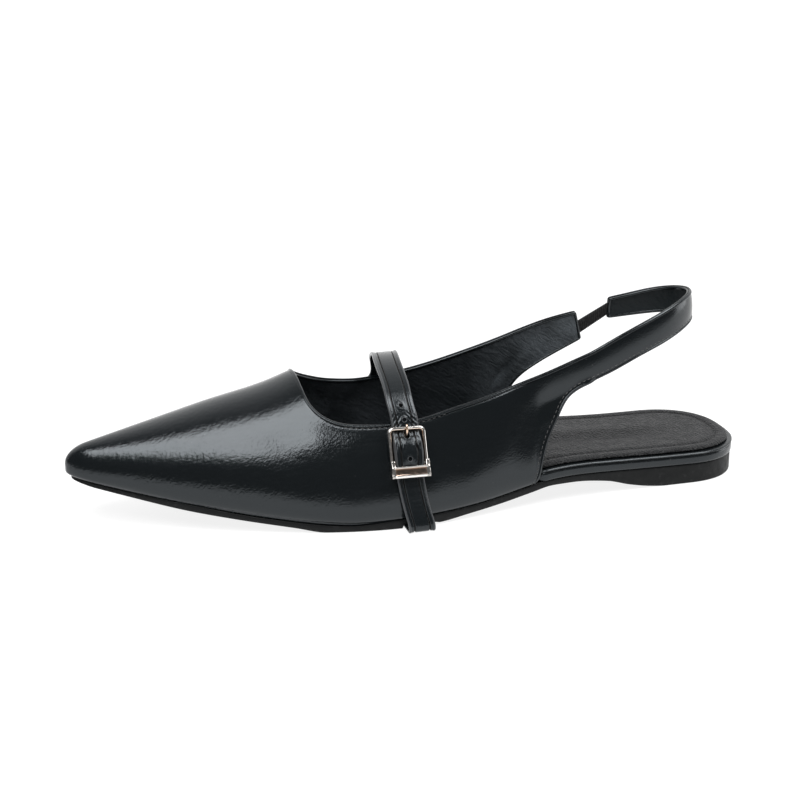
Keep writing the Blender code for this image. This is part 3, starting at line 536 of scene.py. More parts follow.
def turned(point, side):
    """Point of the wall, turned upright where the lateral wall runs out into the strap."""
    x, y, z = point
    turn = ramp(x, *STRAP_TURN)
    if side == "medial" or turn == 0:
        return point
    low, high = strap_height(x)
    low = max(low, high - STRAP_TURN_HEIGHT)
    f = (z - low) / (high - low)
    turn *= ramp(f, -STRAP_TURN_FADE, STRAP_TURN_FADE)
    upright = wall_point(x, (low + high) / 2, side)[1] + sling_lean(max(f, 0.0))
    return x, y + (upright - y) * turn, z


def wall_line(bottom, top, side, rows):
    """Points of the wall along a line between two (x, share) ends."""
    line = []
    for f in np.linspace(0, 1, rows + 1):
        x = bottom[0] + (top[0] - bottom[0]) * f
        share = bottom[1] + (top[1] - bottom[1]) * f
        line.append(turned(last_point(x, share, side), side))
    return line


def rear_curve(side):
    """Rear edge of a quarter as (x, share) from the sole up."""
    rows = REAR_LATERAL if side == "lateral" else REAR_MEDIAL
    points = [(REAR_FOOT_X[side], 0.0)]
    points += [(x, height_share(x, z, side)) for x, z in rows]
    heights = [(REAR_FOOT_X[side], sole["top_z"](REAR_FOOT_X[side]))] + list(rows)
    return Curve(path_curve(heights)[1], np.array(points))


def sling_line(curve, place, rows):
    """Points across the sling strap, lower to upper edge, leaning inwards."""
    x, y, low, high = curve(place)
    tangent = unit(curve(place + SLING_LOOK)[:2] - np.array((x, y)))
    inward = np.array([-tangent[1], tangent[0]])
    line = []
    for f in np.linspace(0, 1, rows + 1):
        lean = sling_lean(f)
        line.append((x + inward[0] * lean, y + inward[1] * lean, low + (high - low) * f))
    return line


def sling_curve():
    """Sling strap's path, running on from the lateral quarter's wall."""
    rows = []
    for x in (SLING_START_X - SLING_RUN_IN, SLING_START_X):
        low, high = strap_height(x)
        y = wall_point(x, (low + high) / 2, "lateral")[1]
        rows.append((x, y, low, high))
    rows += SLING
    return path_curve(rows)


def sling_lines(rows, count):
    curve, along = sling_curve()
    return [sling_line(curve, place, rows) for place in np.linspace(along[1], SLING_END, count + 1)[1:]]


def upper_lines(side, rows, toe_lines, throat_lines, rear_lines):
    """Lines of the upper's outer face from the nose back along one side."""
    collar, lateral_end, medial_end, throat = collar_curve()
    end = lateral_end if side == "lateral" else medial_end
    rear = rear_curve(side)

    def top(share):
        x, height = collar(throat + end * share)
        return x, height if side == "lateral" else 2 - height

    shares = np.linspace(*REAR_SEARCH)
    rear_share = [share for share in shares if top(share)[0] > REAR_FOOT_X[side]][0]
    lines = []
    nose_lines = toe_lines // 3
    nose = NOSE_X + NOSE_LENGTH * (1 - np.cos(np.linspace(0, np.pi / 2, nose_lines + 1)))
    start = NOSE_X + NOSE_LENGTH
    throat_foot = THROAT_X - THROAT_LEAN
    for x in nose:
        lines.append(wall_line((x, 0.0), (x, 1.0), side, rows))
    for f in np.linspace(0, 1, toe_lines - nose_lines + 1)[1:]:
        x = start + (THROAT_X - start) * f
        lines.append(wall_line((x - THROAT_LEAN * f * f, 0.0), (x, 1.0), side, rows))
    for f in np.linspace(0, 1, throat_lines + 1)[1:]:
        foot = throat_foot + (REAR_FOOT_X[side] - throat_foot) * f
        lines.append(wall_line((foot, 0.0), top(f * rear_share), side, rows))
    for f in np.linspace(0, 1, rear_lines + 1)[1:]:
        lines.append(wall_line(rear(f), top(rear_share + (1 - rear_share) * f), side, rows))
    return lines


def metres(point):
    """Point of the shoe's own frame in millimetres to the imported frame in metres."""
    return Vector((np.asarray(point, float) + FRAME_SHIFT) * MM)


def millimetres(places):
    """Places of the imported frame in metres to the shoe's own frame in millimetres."""
    return np.array(places) / MM - FRAME_SHIFT


def place_object(name, data):
    """New object of the scene."""
    item = bpy.data.objects.new(name, data)
    bpy.context.scene.collection.objects.link(item)
    return item


def add_object(name, mesh, *finishes):
    """Smooth-shaded object from a mesh being built."""
    data = bpy.data.meshes.new(name)
    mesh.to_mesh(data)
    mesh.free()
    data.shade_smooth()
    for finish in finishes:
        data.materials.append(finish)
    return place_object(name, data)


def settle(piece, slot, *nodes):
    """Tie a piece to the frame and hide the nodes it stands for; its slot is not used."""
    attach(piece, "root")
    if nodes:
        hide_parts(*nodes)


def add_rows(mesh, rows, to_place=metres):
    """Vertices of rows of points."""
    return [[mesh.verts.new(to_place(point)) for point in row] for row in rows]


def bridge(mesh, loops):
    """Faces between each closed loop of vertices and the next."""
    for here, there in zip(loops, loops[1:]):
        for i in range(len(here)):
            j = (i + 1) % len(here)
            mesh.faces.new((here[i], here[j], there[j], there[i]))


def sheet(mesh, columns, flip):
    """Faces between each open row of vertices and the next."""
    for here, there in zip(columns, columns[1:]):
        for a, b, c, d in zip(here, here[1:], there[1:], there):
            mesh.faces.new((a, b, c, d) if flip else (d, c, b, a))


def loft_mesh(rings, to_place=metres):
    """Closed body over rings of points, with a cap at each end."""
    mesh = bmesh.new()
    loops = add_rows(mesh, rings, to_place)
    bridge(mesh, loops)
    mesh.faces.new(loops[0])
    mesh.faces.new(loops[-1])
    bmesh.ops.recalc_face_normals(mesh, faces=mesh.faces)
    return mesh


def subdivide(piece):
    """Smooth a piece's mesh by one level and keep the result."""
    smooth = piece.modifiers.new("smooth", "SUBSURF")
    smooth.levels = 1
    smooth.render_levels = 1
    apply_modifiers(piece)


def apply_modifiers(piece):
    """Replace a piece's mesh by its result, so that nothing is left to work out later."""
    graph = bpy.context.evaluated_depsgraph_get()
    result = bpy.data.meshes.new_from_object(piece.evaluated_get(graph))
    piece.modifiers.clear()
    piece.data = result


def combine(piece, mesh, operation, *finishes):
    """Join a mesh to a piece, or cut it out of the piece."""
    other = add_object("helper", mesh, *finishes)
    step = piece.modifiers.new("combine", "BOOLEAN")
    step.operation = operation
    step.object = other
    apply_modifiers(piece)
    bpy.data.objects.remove(other, do_unlink=True)


def spread(points, normals, pitch):
    """Places a pitch apart along a row of points, each with tangent and normal."""
    along = distances(points)

    def at(place, values):
        return np.array([np.interp(place, along, values[:, k]) for k in range(3)])

    rows = []
    for place in np.arange(pitch / 2, along[-1], pitch):
        tangent = at(place + pitch / 3, points) - at(place - pitch / 3, points)
        rows.append((at(place, points), tangent, at(place, normals)))
    return rows


def turns(count):
    """Angles of a full turn in equal steps."""
    return np.linspace(0, 2 * np.pi, count + 1)[:-1]


def add_capsule(mesh, middle, tangent, normal, length, radius):
    """One stitch: a short thread that dives into the leather at both ends."""
    tangent = unit(tangent)
    across = unit(np.cross(normal, tangent))
    normal = np.cross(tangent, across)
    rings = []
    for f in STITCH_SHARES:
        size = radius * np.sqrt(max(1 - abs(f) ** 3, STITCH_END))
        centre = middle + tangent * f * length / 2 - normal * radius * STITCH_DIVE * abs(f) ** 3
        rings.append([centre + size * (np.cos(turn) * across + np.sin(turn) * normal)
                      for turn in turns(STITCH_SIDES)])
    loops = add_rows(mesh, rings)
    bridge(mesh, loops)
    mesh.faces.new(reversed(loops[0]))
    mesh.faces.new(loops[-1])


def make_stitches(name, rows, length, radius, finish, slot):
    """One piece from all stitches of a row, given as places with tangent and normal."""
    mesh = bmesh.new()
    for middle, tangent, normal in rows:
        add_capsule(mesh, middle, tangent, normal, length, radius)
    piece = add_object(name, mesh, finish)
    settle(piece, slot)
    return piece


# Upper: one sheet with wall and lining, its folded edge and stitch row
UPPER_ROWS = 22
WELD = 0.01                    # distance at which vertices become one
UPPER_COUNTS = {"toe": 36, "throat": 44, "rear_lateral": 20, "rear_medial": 26, "sling": 56}

# Soft dents and ridges of the upper: side, ends as (x, z), half width, depth (a ridge is negative)
CREASES = (
    ("lateral", (-56, 30), (-44, 14), 7.0, 0.35),
    ("lateral", (-40, 30), (-33, 15), 6.0, 0.25),
    ("lateral", (4, 14), (11, 34), 7.0, 0.35),
    ("lateral", (22, 18), (26, 40), 6.0, -0.25),
    ("lateral", (39, 30), (50, 30), 10.0, 0.85),
    ("medial", (32.8, 38.2), (43, 34.4), 1.6, -0.5),
    ("medial", (32.8, 36.0), (42, 32.4), 2.0, 0.4),
    ("medial", (41.8, 33.4), (48.4, 41.0), 1.9, -0.7),
    ("medial", (44.2, 32.6), (50.6, 40.0), 2.2, 0.5),
    ("medial", (56, 44), (70, 55), 4.0, 0.35),
)


def sole_slim(x):
    """How far the leather is drawn down over the sole's side under the ball of the foot."""
    start, full, fade, end = SOLE_SLIM_X
    return SOLE_SLIM * ramp(x, start, full) * ramp(x, end, fade)


def upper_sheet():
    """Outer face of the upper as an open sheet, with its lower edge marked."""
    counts = UPPER_COUNTS
    shared = (UPPER_ROWS, counts["toe"], counts["throat"])
    lateral = upper_lines("lateral", *shared, counts["rear_lateral"])
    lateral += sling_lines(UPPER_ROWS, counts["sling"])
    medial = upper_lines("medial", *shared, counts["rear_medial"])
    on_sole = counts["toe"] + counts["throat"] + 1
    mesh = bmesh.new()
    mark = mesh.verts.layers.int.new("feather")
    for lines, flip in ((lateral, False), (medial, True)):
        grid = add_rows(mesh, lines)
        for column in grid[:on_sole]:
            column[0][mark] = 1
            column[0].co.z -= (FEATHER_DROP + sole_slim(column[0].co.x / MM)) * MM
        sheet(mesh, grid, flip)
    bmesh.ops.remove_doubles(mesh, verts=mesh.verts, dist=WELD * MM)
    mesh.normal_update()
    return mesh


def segment_distance(points, start, end):
    """Distance of points from a straight piece."""
    run = end - start
    share = np.clip((points - start) @ run / (run @ run), 0, 1)
    return np.linalg.norm(points - start - share[:, None] * run, axis=1)


def press_creases(mesh):
    """Push the sheet in or out along its listed dents and ridges."""
    points = millimetres([vertex.co for vertex in mesh.verts])
    push = np.zeros(len(points))
    for side, start, end, width, depth in CREASES:
        ends = [wall_point(x, z, side) for x, z in (start, end)]
        push -= depth * bell(segment_distance(points, *ends), width)
    for vertex, amount in zip(mesh.verts, push):
        vertex.co += vertex.normal * float(amount) * MM


def edge_chain(mesh):
    """Free edge's vertices in order: lateral foot, rear cut, strap, collar, wing, medial foot."""
    mark = mesh.verts.layers.int["feather"]
    links = {}
    for edge in mesh.edges:
        a, b = edge.verts
        if edge.is_boundary and not (a[mark] and b[mark]):
            links.setdefault(a, []).append(b)
            links.setdefault(b, []).append(a)
    ends = [vertex for vertex, near in links.items() if len(near) == 1]
    chain = [min(ends, key=lambda vertex: vertex.co.y)]
    before = None
    while True:
        ahead = [vertex for vertex in links[chain[-1]] if vertex is not before]
        if not ahead:
            return chain
        before = chain[-1]
        chain.append(ahead[0])


def faces_middle(vertex):
    """Middle of the faces round a vertex."""
    middles = [face.calc_center_median() for face in vertex.link_faces]
    return sum(middles, Vector()) / len(middles)


def free_edge(mesh):
    """Free edge's points in order, with the wall's normals and the directions out beyond the edge."""
    chain = edge_chain(mesh)
    points = millimetres([vertex.co for vertex in chain])
    normals = np.array([vertex.normal for vertex in chain])
    inside = millimetres([faces_middle(vertex) for vertex in chain]) - points
    outward = unit(np.cross(unit(np.gradient(points, axis=0)), normals))
    if (outward * inside).sum() > 0:
        outward = -outward
    return points, normals, outward


def make_upper(leather, lining):
    mesh = upper_sheet()
    press_creases(mesh)
    mesh.normal_update()
    edge = free_edge(mesh)
    piece = add_object("upper_leather", mesh, leather, lining)
    wall = piece.modifiers.new("wall", "SOLIDIFY")
    wall.thickness = WALL * MM
    wall.offset = -1.0
    wall.use_quality_normals = True
    wall.material_offset = 1
    subdivide(piece)
    settle(piece, "upper_leather", "upper")
    return piece, edge


def make_rim(edge, leather):
    """Folded leather edge all round the upper's opening and rear cuts."""
    rings = []
    for point, normal, out in zip(*edge):
        rings.append([point + normal * o + out * b for o, b in RIM_PROFILE])
    piece = add_object("upper_folded_edge", loft_mesh(rings), leather)
    subdivide(piece)
    settle(piece, "upper_leather")


def surface_tree(piece):
    mesh = bmesh.new()
    mesh.from_mesh(piece.data)
    tree = BVHTree.FromBMesh(mesh)
    mesh.free()
    return tree


def rim_stitch_rows(piece, edge):
    """Places of the stitches beside the folded edge, on the wall's outer face."""
    tree = surface_tree(piece)
    points, normals, outward = edge
    on_collar = outward[:, 2:] > COLLAR_FACES_UP
    guide = points - outward * np.where(on_collar, *RIM_STITCH_IN)
    marked = np.hstack([normals[:, :2], on_collar])
    low, high = RIM_STITCH_COLLAR_X
    rows = []
    for middle, tangent, mark in spread(guide, marked, RIM_STITCH_PITCH):
        place, normal, _, _ = tree.find_nearest(metres(middle))
        if mark[2] < 0.5 or low < middle[0] < high:
            rows.append((millimetres(place), tangent, np.array(normal)))
    return rows


# Sole pieces: outline in plan, then levels from the bottom up
SOLE_STEP = 1.8
END_STATIONS = 22
GROOVE_STATIONS = (-16.2, -16.05, -15.5, -15.35)         # front edge of the band's place in the sole


def sole_stations(toe, heel):
    """Sections along a sole piece, close together where the ends round off."""
    turn = np.linspace(0, np.pi / 2, END_STATIONS)
    turn[0] = turn[1] / 3
    front = toe + SOLE_TOE_LENGTH * (1 - np.cos(turn))
    back = heel - HEEL_LENGTH * (1 - np.cos(turn[::-1]))
    count = int((back[0] - front[-1]) / SOLE_STEP)
    middle = np.linspace(front[-1], back[0], count + 1)[1:-1]
    return np.sort(np.concatenate([front, middle, GROOVE_STATIONS, back]))


def plan_outline(inset, toe, heel):
    """Lateral side from toe to heel, then the medial side back, with normals that point outwards."""
    stations = sole_stations(toe, heel)
    lateral, medial = [[(x, sole_edge(x, side, inset(x), toe, heel)) for x in stations]
                       for side in ("lateral", "medial")]
    points = np.array(lateral + medial[::-1])
    tangent = np.roll(points, -1, axis=0) - np.roll(points, 1, axis=0)
    return points, unit(np.column_stack([tangent[:, 1], -tangent[:, 0]]))


def level_ring(outline, offset, height):
    """Ring of points: outline moved outwards, at heights along it."""
    points, normals = outline
    plan = points + normals * np.asarray(offset)[..., None]
    return np.column_stack([plan, height])


def cap_grid(mesh, loop, across, lift, flip):
    """Face between the two sides of a ring, in rows from lateral to medial, raised by lift(share, x)."""
    columns = []
    for left, right in zip(loop[:len(loop) // 2], reversed(loop)):
        column = [left]
        for share in np.linspace(0, 1, across + 1)[1:-1]:
            place = left.co.lerp(right.co, share)
            place.z += lift(share, place.x / MM) * MM
            column.append(mesh.verts.new(place))
        columns.append(column + [right])
    sheet(mesh, columns, flip)
    for column in (columns[0], columns[-1]):
        mesh.faces.new(column)


def no_lift(share, x):
    return 0.0


def slab_mesh(rings, across=8, lift=no_lift):
    """Closed body from level rings, bottom to top, with a face below and one above."""
    mesh = bmesh.new()
    loops = add_rows(mesh, rings)
    bridge(mesh, loops)
    cap_grid(mesh, loops[0], across, no_lift, True)
    cap_grid(mesh, loops[-1], across, lift, False)
    bmesh.ops.recalc_face_normals(mesh, faces=mesh.faces)
    return mesh


def heights_along(outline, height):
    return np.array([height(x) for x in outline[0][:, 0]])


def ripple(outline, waves):
    """Slow unevenness along an outline, as a sum of waves of given length and height."""
    along = distances(outline[0])
    return sum(height * np.sin(along * 2 * np.pi / length + i * RIPPLE_PHASE)
               for i, (length, height) in enumerate(waves))


def make_outsole(rubber):
    outline = plan_outline(lambda x: 0.0, SOLE_TOE_X, HEEL_X)
    low = heights_along(outline, under)
    high = heights_along(outline, sole["top_z"]) - heights_along(outline, sole_slim)
    rings = [level_ring(outline, -TREAD_INSET, low)]
    rings += [level_ring(outline, offset, low + rise) for offset, rise in SOLE_SIDE_LOW]
    rings += [level_ring(outline, offset, high - drop) for offset, drop in SOLE_SIDE_HIGH]
    rings.append(level_ring(outline, -FACE_INSET, high - SOLE_SIDE_DISH))
    piece = add_object("outsole_rubber", slab_mesh(rings), rubber)
    settle(piece, "sole_rubber", "outsole")


def board_inset(x):
    return BOARD_HIDDEN_INSET + (BOARD_INSET - BOARD_HIDDEN_INSET) * ramp(x, *BOARD_STEP)


def board_top(x):
    thick = BOARD_THIN + (BOARD_THICK - BOARD_THIN) * ramp(x, *BOARD_RAMP)
    return sole["top_z"](x) + GAP + thick


def make_rand(leather):
    outline = plan_outline(board_inset, SOLE_TOE_X + BOARD_TOE_GAP, HEEL_X - BOARD_INSET)
    low = heights_along(outline, sole["top_z"]) + GAP
    high = heights_along(outline, board_top)
    uneven = ripple(outline, RAND_WAVES)
    start, fade = RAND_ROLL
    rings = []
    for offset, share in RAND_PROFILE:
        on_roll = smooth_step((share - start) / fade)
        rings.append(level_ring(outline, offset + uneven * on_roll, low + (high - low) * share))
    rings.append(level_ring(outline, -FACE_INSET, high))
    piece = add_object("rand_leather", slab_mesh(rings), leather)
    settle(piece, "rand_leather", "insole_board")


# Insole: distance in from its edge, height above its underside
SOCK_PROFILE = (
    (0.25, 0.0), (0.0, 0.25), (0.06, 0.6), (0.35, 1.0), (0.9, 1.27), (1.8, 1.46), (2.8, 1.5), (3.8, 1.4),
    (4.45, 1.15), (4.8, 0.85), (5.2, 0.85), (5.55, 1.12), (6.3, 1.34), (7.6, 1.4), (9.5, 1.36),
)
SOCK_WAVES = ((0.38, 0.17, -0.7), (0.66, 0.15, 0.45))    # place across, half width, height
SOCK_WAVES_X = (30.0, 60.0)
SOCK_WAVES_END = 14.0          # how far ahead of the heel they end
SOCK_WAVES_FADE = 30.0
SOCK_WAVES_EDGE = 6.0          # how fast they rise from the sides
SOCK_COLUMNS = 24
SOCK_NARROW = 0.8              # most of the half width that an inset takes


def sock_outline():
    """Insole's outline, with the height of its underside along it."""
    toe = SOLE_TOE_X + BOARD_TOE_GAP + INSOLE_INSET
    heel = HEEL_X - BOARD_INSET - INSOLE_INSET
    outline = plan_outline(lambda x: board_inset(x) + INSOLE_INSET, toe, heel)
    return outline, heights_along(outline, board_top) + GAP


def narrow(outline, inset):
    """Inset that stays inside the outline where it is narrow."""
    points = outline[0]
    half_width = np.abs(points[:, 1] - points[::-1, 1]) / 2
    return np.where(points[:, 0] > 0, inset, np.minimum(inset, SOCK_NARROW * half_width))


def sock_waves(share, x):
    """Height of the insole's long soft waves, a share of the way across at section x."""
    lift = sum(height * bell(share - place, width) for place, width, height in SOCK_WAVES)
    end = HEEL_X - SOCK_WAVES_END
    ends = ramp(x, *SOCK_WAVES_X) * ramp(x, end, end - SOCK_WAVES_FADE)
    return lift * ends * min(1.0, SOCK_WAVES_EDGE * share * (1 - share))


def make_insole(leather):
    outline, base = sock_outline()
    rings = [level_ring(outline, -narrow(outline, inset), base + height) for inset, height in SOCK_PROFILE]
    piece = add_object("insole_pad", slab_mesh(rings, SOCK_COLUMNS, sock_waves), leather)
    subdivide(piece)
    settle(piece, "insole_leather", "insole")


def sock_stitch_rows():
    """Stitch places in the insole's groove, from inside the lateral quarter round the heel."""
    outline, base = sock_outline()
    ring = level_ring(outline, -narrow(outline, SOCK_STITCH_IN), base + SOCK_STITCH_HIGH)
    ring = ring[ring[:, 0] > SOCK_STITCH_X]
    return spread(ring, np.tile((0.0, 0.0, 1.0), (len(ring), 1)), SOCK_STITCH_PITCH)


# Elastic: a ribbon with ribs across its length
ELASTIC_RUN_IN = 0.75          # how far each end runs into the folded leather
ELASTIC_RIB = 0.95
ELASTIC_RIB_HIGH = 0.09
ELASTIC_FULL = 0.86            # share of its thickness without the ribs
ELASTIC_EDGE = (0.55, 6.0)     # share of that at its edges, and how fast it fills
ELASTIC_COLUMNS = 9
ELASTIC_STATIONS = 120


def make_elastic(weave):
    strap_y = SLING[-1][1] - WALL / 2
    starts = [wall_point(x, z, "medial", -WALL / 2) for x, z in ELASTIC_FRONT]
    leans = (-ELASTIC_LEAN, ELASTIC_LEAN)
    ends = [np.array((x, strap_y + lean, z)) for (x, z), lean in zip(ELASTIC_BACK, leans)]
    length = np.linalg.norm(ends[0] - starts[0])
    over = ELASTIC_RUN_IN / length
    across = np.linspace(0, 1, ELASTIC_COLUMNS)
    edge, fill = ELASTIC_EDGE
    swell = np.minimum(1.0, edge + fill * across * (1 - across))
    rings = []
    for f in np.linspace(-over, 1 + over, ELASTIC_STATIONS):
        top, low = [start + (end - start) * f for start, end in zip(starts, ends)]
        rib = ELASTIC_RIB_HIGH * np.sin(f * length / ELASTIC_RIB * 2 * np.pi)
        out = np.array((0.0, ELASTIC_THICK / 2 * ELASTIC_FULL + rib, 0.0))
        face = [top + (low - top) * s + out * full for s, full in zip(across, swell)]
        back = [top + (low - top) * s - out * full for s, full in zip(across, swell)]
        rings.append(face + back[::-1])
    piece = add_object("sling_elastic_ribbon", loft_mesh(rings), weave)
    settle(piece, "elastic_weave", "sling_elastic")


def buckle_axes():
    """Local frame of the buckle: across, up along the wall, out from the wall; and its origin."""
    across = unit(wall_run(BUCKLE_X, BUCKLE_Z, "lateral", WALL_STEP, 0.0))
    rising = wall_run(BUCKLE_X, BUCKLE_Z, "lateral", 0.0, WALL_STEP)
    out = unit(np.cross(across, rising))
    return np.column_stack([across, np.cross(out, across), out]), wall_point(BUCKLE_X, BUCKLE_Z, "lateral")


def wall_skew(x, z, side):
    """How far the wall goes sideways for each step along the shoe."""
    return wall_run(x, z, side, WALL_STEP, 0.0)[1] / (2 * WALL_STEP)


def wall_rows(side, heights, places):
    """Rows of the band's path against the wall."""
    return [(*wall_point(x, z, side, BAND_OFF), wall_skew(x, z, side)) for z, x in zip(heights, places)]


def bend_rows(side, x, flare):
    """Rows of the band's path round the sole's edge, from the wall down to the floor."""
    out = side_sign(side)
    bulge = wall_point(x, last["bulge_z"](x), side, BAND_OFF + flare)[1]
    centre_y = bulge - out * BAND_BEND
    centre_z = BAND_LOW + BAND_BEND
    skew = wall_skew(x, BAND_LIFT_Z, side)
    rows = [(x, bulge, centre_z, skew)]
    for angle in np.radians(BAND_BEND_ANGLES):
        y = centre_y + out * BAND_BEND * np.cos(angle)
        rows.append((x, y, centre_z - BAND_BEND * np.sin(angle), skew * np.cos(angle)))
    return rows + [(x, centre_y - out * BAND_BEND, BAND_LOW, 0.0)]


def band_path():
    """Middle of the band from its end at the hinge bar round the shoe to its free end, with skew."""
    axes, origin = buckle_axes()
    fixed_z = origin[2] + axes[2, 1] * (HINGE_V - HINGE_BAR)
    fixed_x, low_x, high_x, collar_x = BAND_X.values()
    start_y, end_y = BAND_UNDER_Y
    lean_x, lean_in, lean_z = BAND_LEAN
    rows = wall_rows("lateral", (fixed_z, BAND_FLARE_Z), (fixed_x, fixed_x + BAND_FLARE_STEP))
    down = bend_rows("lateral", low_x, BAND_FLARE)
    x, y, _, skew = down[0]
    rows.append((x + lean_x, y - side_sign("lateral") * lean_in, lean_z, skew))
    rows += down
    for f in np.linspace(0, 1, BAND_UNDER_STEPS + 1)[1:-1]:
        rows.append((low_x + (high_x - low_x) * f, start_y + (end_y - start_y) * f, BAND_LOW, 0.0))
    rows += reversed(bend_rows("medial", high_x, 0.0))
    places = np.linspace(high_x, collar_x, len(BAND_MEDIAL_HEIGHTS))
    rows += wall_rows("medial", BAND_MEDIAL_HEIGHTS, places)
    rows += [(x, y, z, 0.0) for y, z, x in ARCH]
    for v, inner in TAIL:
        place = origin + axes[:, 1] * v + axes[:, 2] * (inner + BAND_THICK / 2)
        rows.append((*place, axes[1, 0] / axes[0, 0]))
    return np.array(rows)


# Band: stations along its path, columns across its face
BAND_STATIONS = (330, 170)       # before the buckle, through it
BAND_FINE_V = 15.0               # where the close stations begin
BAND_COLUMNS = (                 # out from the middle, closest at the groove and the edge
    0.0, 0.3, 0.6, 0.9, 1.2, 1.5, 1.8, 2.1, 2.35, 2.55, 2.68, 2.78, 2.87, 2.95, 3.03, 3.12,
    3.24, 3.4, 3.65, 3.9, 4.15, 4.4, 4.6, 4.75, 4.9, 5.03, 5.14, 5.2,
)
BAND_LOOK = 0.002                # share of its length by which its direction is taken
BAND_CREASED_S = ((0.9, 1.1), (4.9, 0.8))      # where its creases begin and end across, with fades

# Creases of the band: place along the buckle's frame, reach, pitch, slant, height
BAND_HERRING = (10.6, 3.2, 2.0, 1.3, 0.17)     # above the buckle
BAND_PUCKER = (2.4, 2.7, 1.45, 0.3, 0.24)      # inside it


def band_half(s):
    """Half thickness of the band at places across it, less at its rounded edges."""
    edge = np.clip((BAND_WIDTH / 2 - np.abs(s)) / BAND_EDGE, 0, 1)
    rounding = np.sqrt(1 - (1 - edge) ** 2)
    return BAND_THICK / 2 * (BAND_EDGE_LEFT + (1 - BAND_EDGE_LEFT) * rounding)


class Band:
    """Path of the instep band with its frame at any place, and the shape of its face."""

    def __init__(self):
        rows = band_path()
        self.curve, along = path_curve(rows)
        self.length = distances(rows[:, :3])[-1]
        self.tail_at = along[-len(TAIL):] * self.length
        self.prong_hole = self.tail_place(PRONG_HOLE_V)
        self.holes = [self.prong_hole + step for step in BAND_HOLES]

    def tail_place(self, v):
        """Distance along the band of a place along the buckle's frame."""
        return np.interp(-v, [-row[0] for row in TAIL], self.tail_at)

    def frame(self, at):
        """Middle point, direction across the width and outward normal at a distance along the band."""
        place = at / self.length
        x, y, z, skew = self.curve(place)
        run = self.curve(min(place + BAND_LOOK, 1.0)) - self.curve(max(place - BAND_LOOK, 0.0))
        tangent = unit(np.array([0.0, run[1], run[2]]))
        normal = np.array([0.0, tangent[2], -tangent[1]])
        return np.array((x, y, z)), np.array((1.0, skew, 0.0)), normal

    def height(self, at, s):
        """Outer face above the middle of the thickness, at a distance along and a place across."""
        high = band_half(s)
        high -= BAND_GROOVE_DEPTH * bell(np.abs(s) - BAND_GROOVE_S, BAND_GROOVE_WIDTH)
        high += BAND_BEAD * bell(np.abs(s) - BAND_BEAD_S, BAND_BEAD_WIDTH)
        high += BAND_PILLOW * self.inside(at) * (1 - np.abs(2 * s / BAND_WIDTH) ** 3)
        radius, width = BAND_HOLE_RIM_AT
        for hole in self.holes + [self.prong_hole]:
            high += BAND_HOLE_RIM * bell(np.hypot(at - hole, s) - radius, width)
        return high + self.wrinkles(at, s)

    def inside(self, at):
        """1 in the middle of the buckle's opening, 0 outside it."""
        start, end = [self.tail_place(v) for v in BAND_OPENING_V]
        share = np.clip((at - start) / (end - start), 0, 1)
        return np.sin(np.pi * share) ** BAND_OPENING_POWER

    def wrinkles(self, at, s):
        """Slanting crease marks where the band bends into the buckle."""
        away = np.abs(s)
        (start, rise), (end, fall) = BAND_CREASED_S
        outer = smooth_step((away - start) / rise) * smooth_step((end - away) / fall)
        v, reach, pitch, slant, high = BAND_HERRING
        beyond = at - self.tail_place(v)
        herring = high * np.sin((at - slant * away) * 2 * np.pi / pitch) * bell(beyond, reach)
        v, reach, pitch, slant, high = BAND_PUCKER
        beyond = at - self.tail_place(v)
        puckers = high * np.sin((away - slant * beyond) * 2 * np.pi / pitch) * bell(beyond, reach)
        return (herring + puckers) * outer


def shade_band(piece, steps):
    """Give the rolled borders their paler leather, and the stitch grooves' floors a painted shade."""
    middles = np.abs(steps[:-1] + steps[1:]) / 2
    share = np.where(middles > BAND_BORDER_S, 1, 0)
    share = np.where(np.abs(middles - BAND_GROOVE_S) < BAND_GROOVE_SHADE_HALF_WIDTH, 2, share)
    for face in piece.data.polygons:
        column = face.index % (2 * len(steps))
        if column < len(share):
            face.material_index = int(share[column])


def make_band(*leathers):
    band = Band()
    half = np.array(BAND_COLUMNS)
    steps = np.concatenate([-half[:0:-1], half])
    below = band_half(steps)
    first = TAIL[0][0]
    fine = band.tail_place(first) - (BAND_FINE_V - first)
    before, through = BAND_STATIONS
    rings = []
    for at in np.concatenate([np.linspace(0, fine, before)[:-1], np.linspace(fine, band.length, through)]):
        middle, across, normal = band.frame(at)
        across = across * (1 + BAND_SPREAD * band.inside(at))
        outer = [middle + across * s + normal * h for s, h in zip(steps, band.height(at, steps))]
        inner = [middle + across * s - normal * h for s, h in zip(steps, below)]
        rings.append(outer + inner[::-1])
    piece = add_object("instep_band", loft_mesh(rings), *leathers)
    shade_band(piece, steps)
    cut_holes(piece, band)
    settle(piece, "strap_leather", "instep_strap")
    return band


def hole_frames(band):
    """Place, directions across, along and out, width and length of each hole; the last is the prong's."""
    rows = [(at, 1.0, 1.0) for at in band.holes]
    rows.append((band.prong_hole, PRONG_HOLE_WIDER, PRONG_HOLE_LONGER))
    for at, wider, stretch in rows:
        middle, across, normal = band.frame(at)
        across = unit(across)
        yield at, middle, across, np.cross(normal, across), normal, wider, stretch


def make_hole_rims(band, leather):
    """Paler rings of leather round the punched holes."""
    radius, tube = HOLE_RING
    mesh = bmesh.new()
    for at, middle, across, along, normal, wider, stretch in hole_frames(band):
        top = middle + normal * (band.height(at, np.array(radius)) - tube * HOLE_RING_SINK)
        rings = []
        for turn in turns(HOLE_SIDES):
            out = across * np.cos(turn) + along * np.sin(turn) * stretch
            rings.append([top + out * (radius * wider + tube * np.cos(bend)) + normal * tube * np.sin(bend)
                          for bend in turns(HOLE_RING_SIDES)])
        loops = add_rows(mesh, rings)
        bridge(mesh, loops + loops[:1])
    bmesh.ops.recalc_face_normals(mesh, faces=mesh.faces)
    piece = add_object("band_hole_rims", mesh, leather)
    settle(piece, "strap_leather")


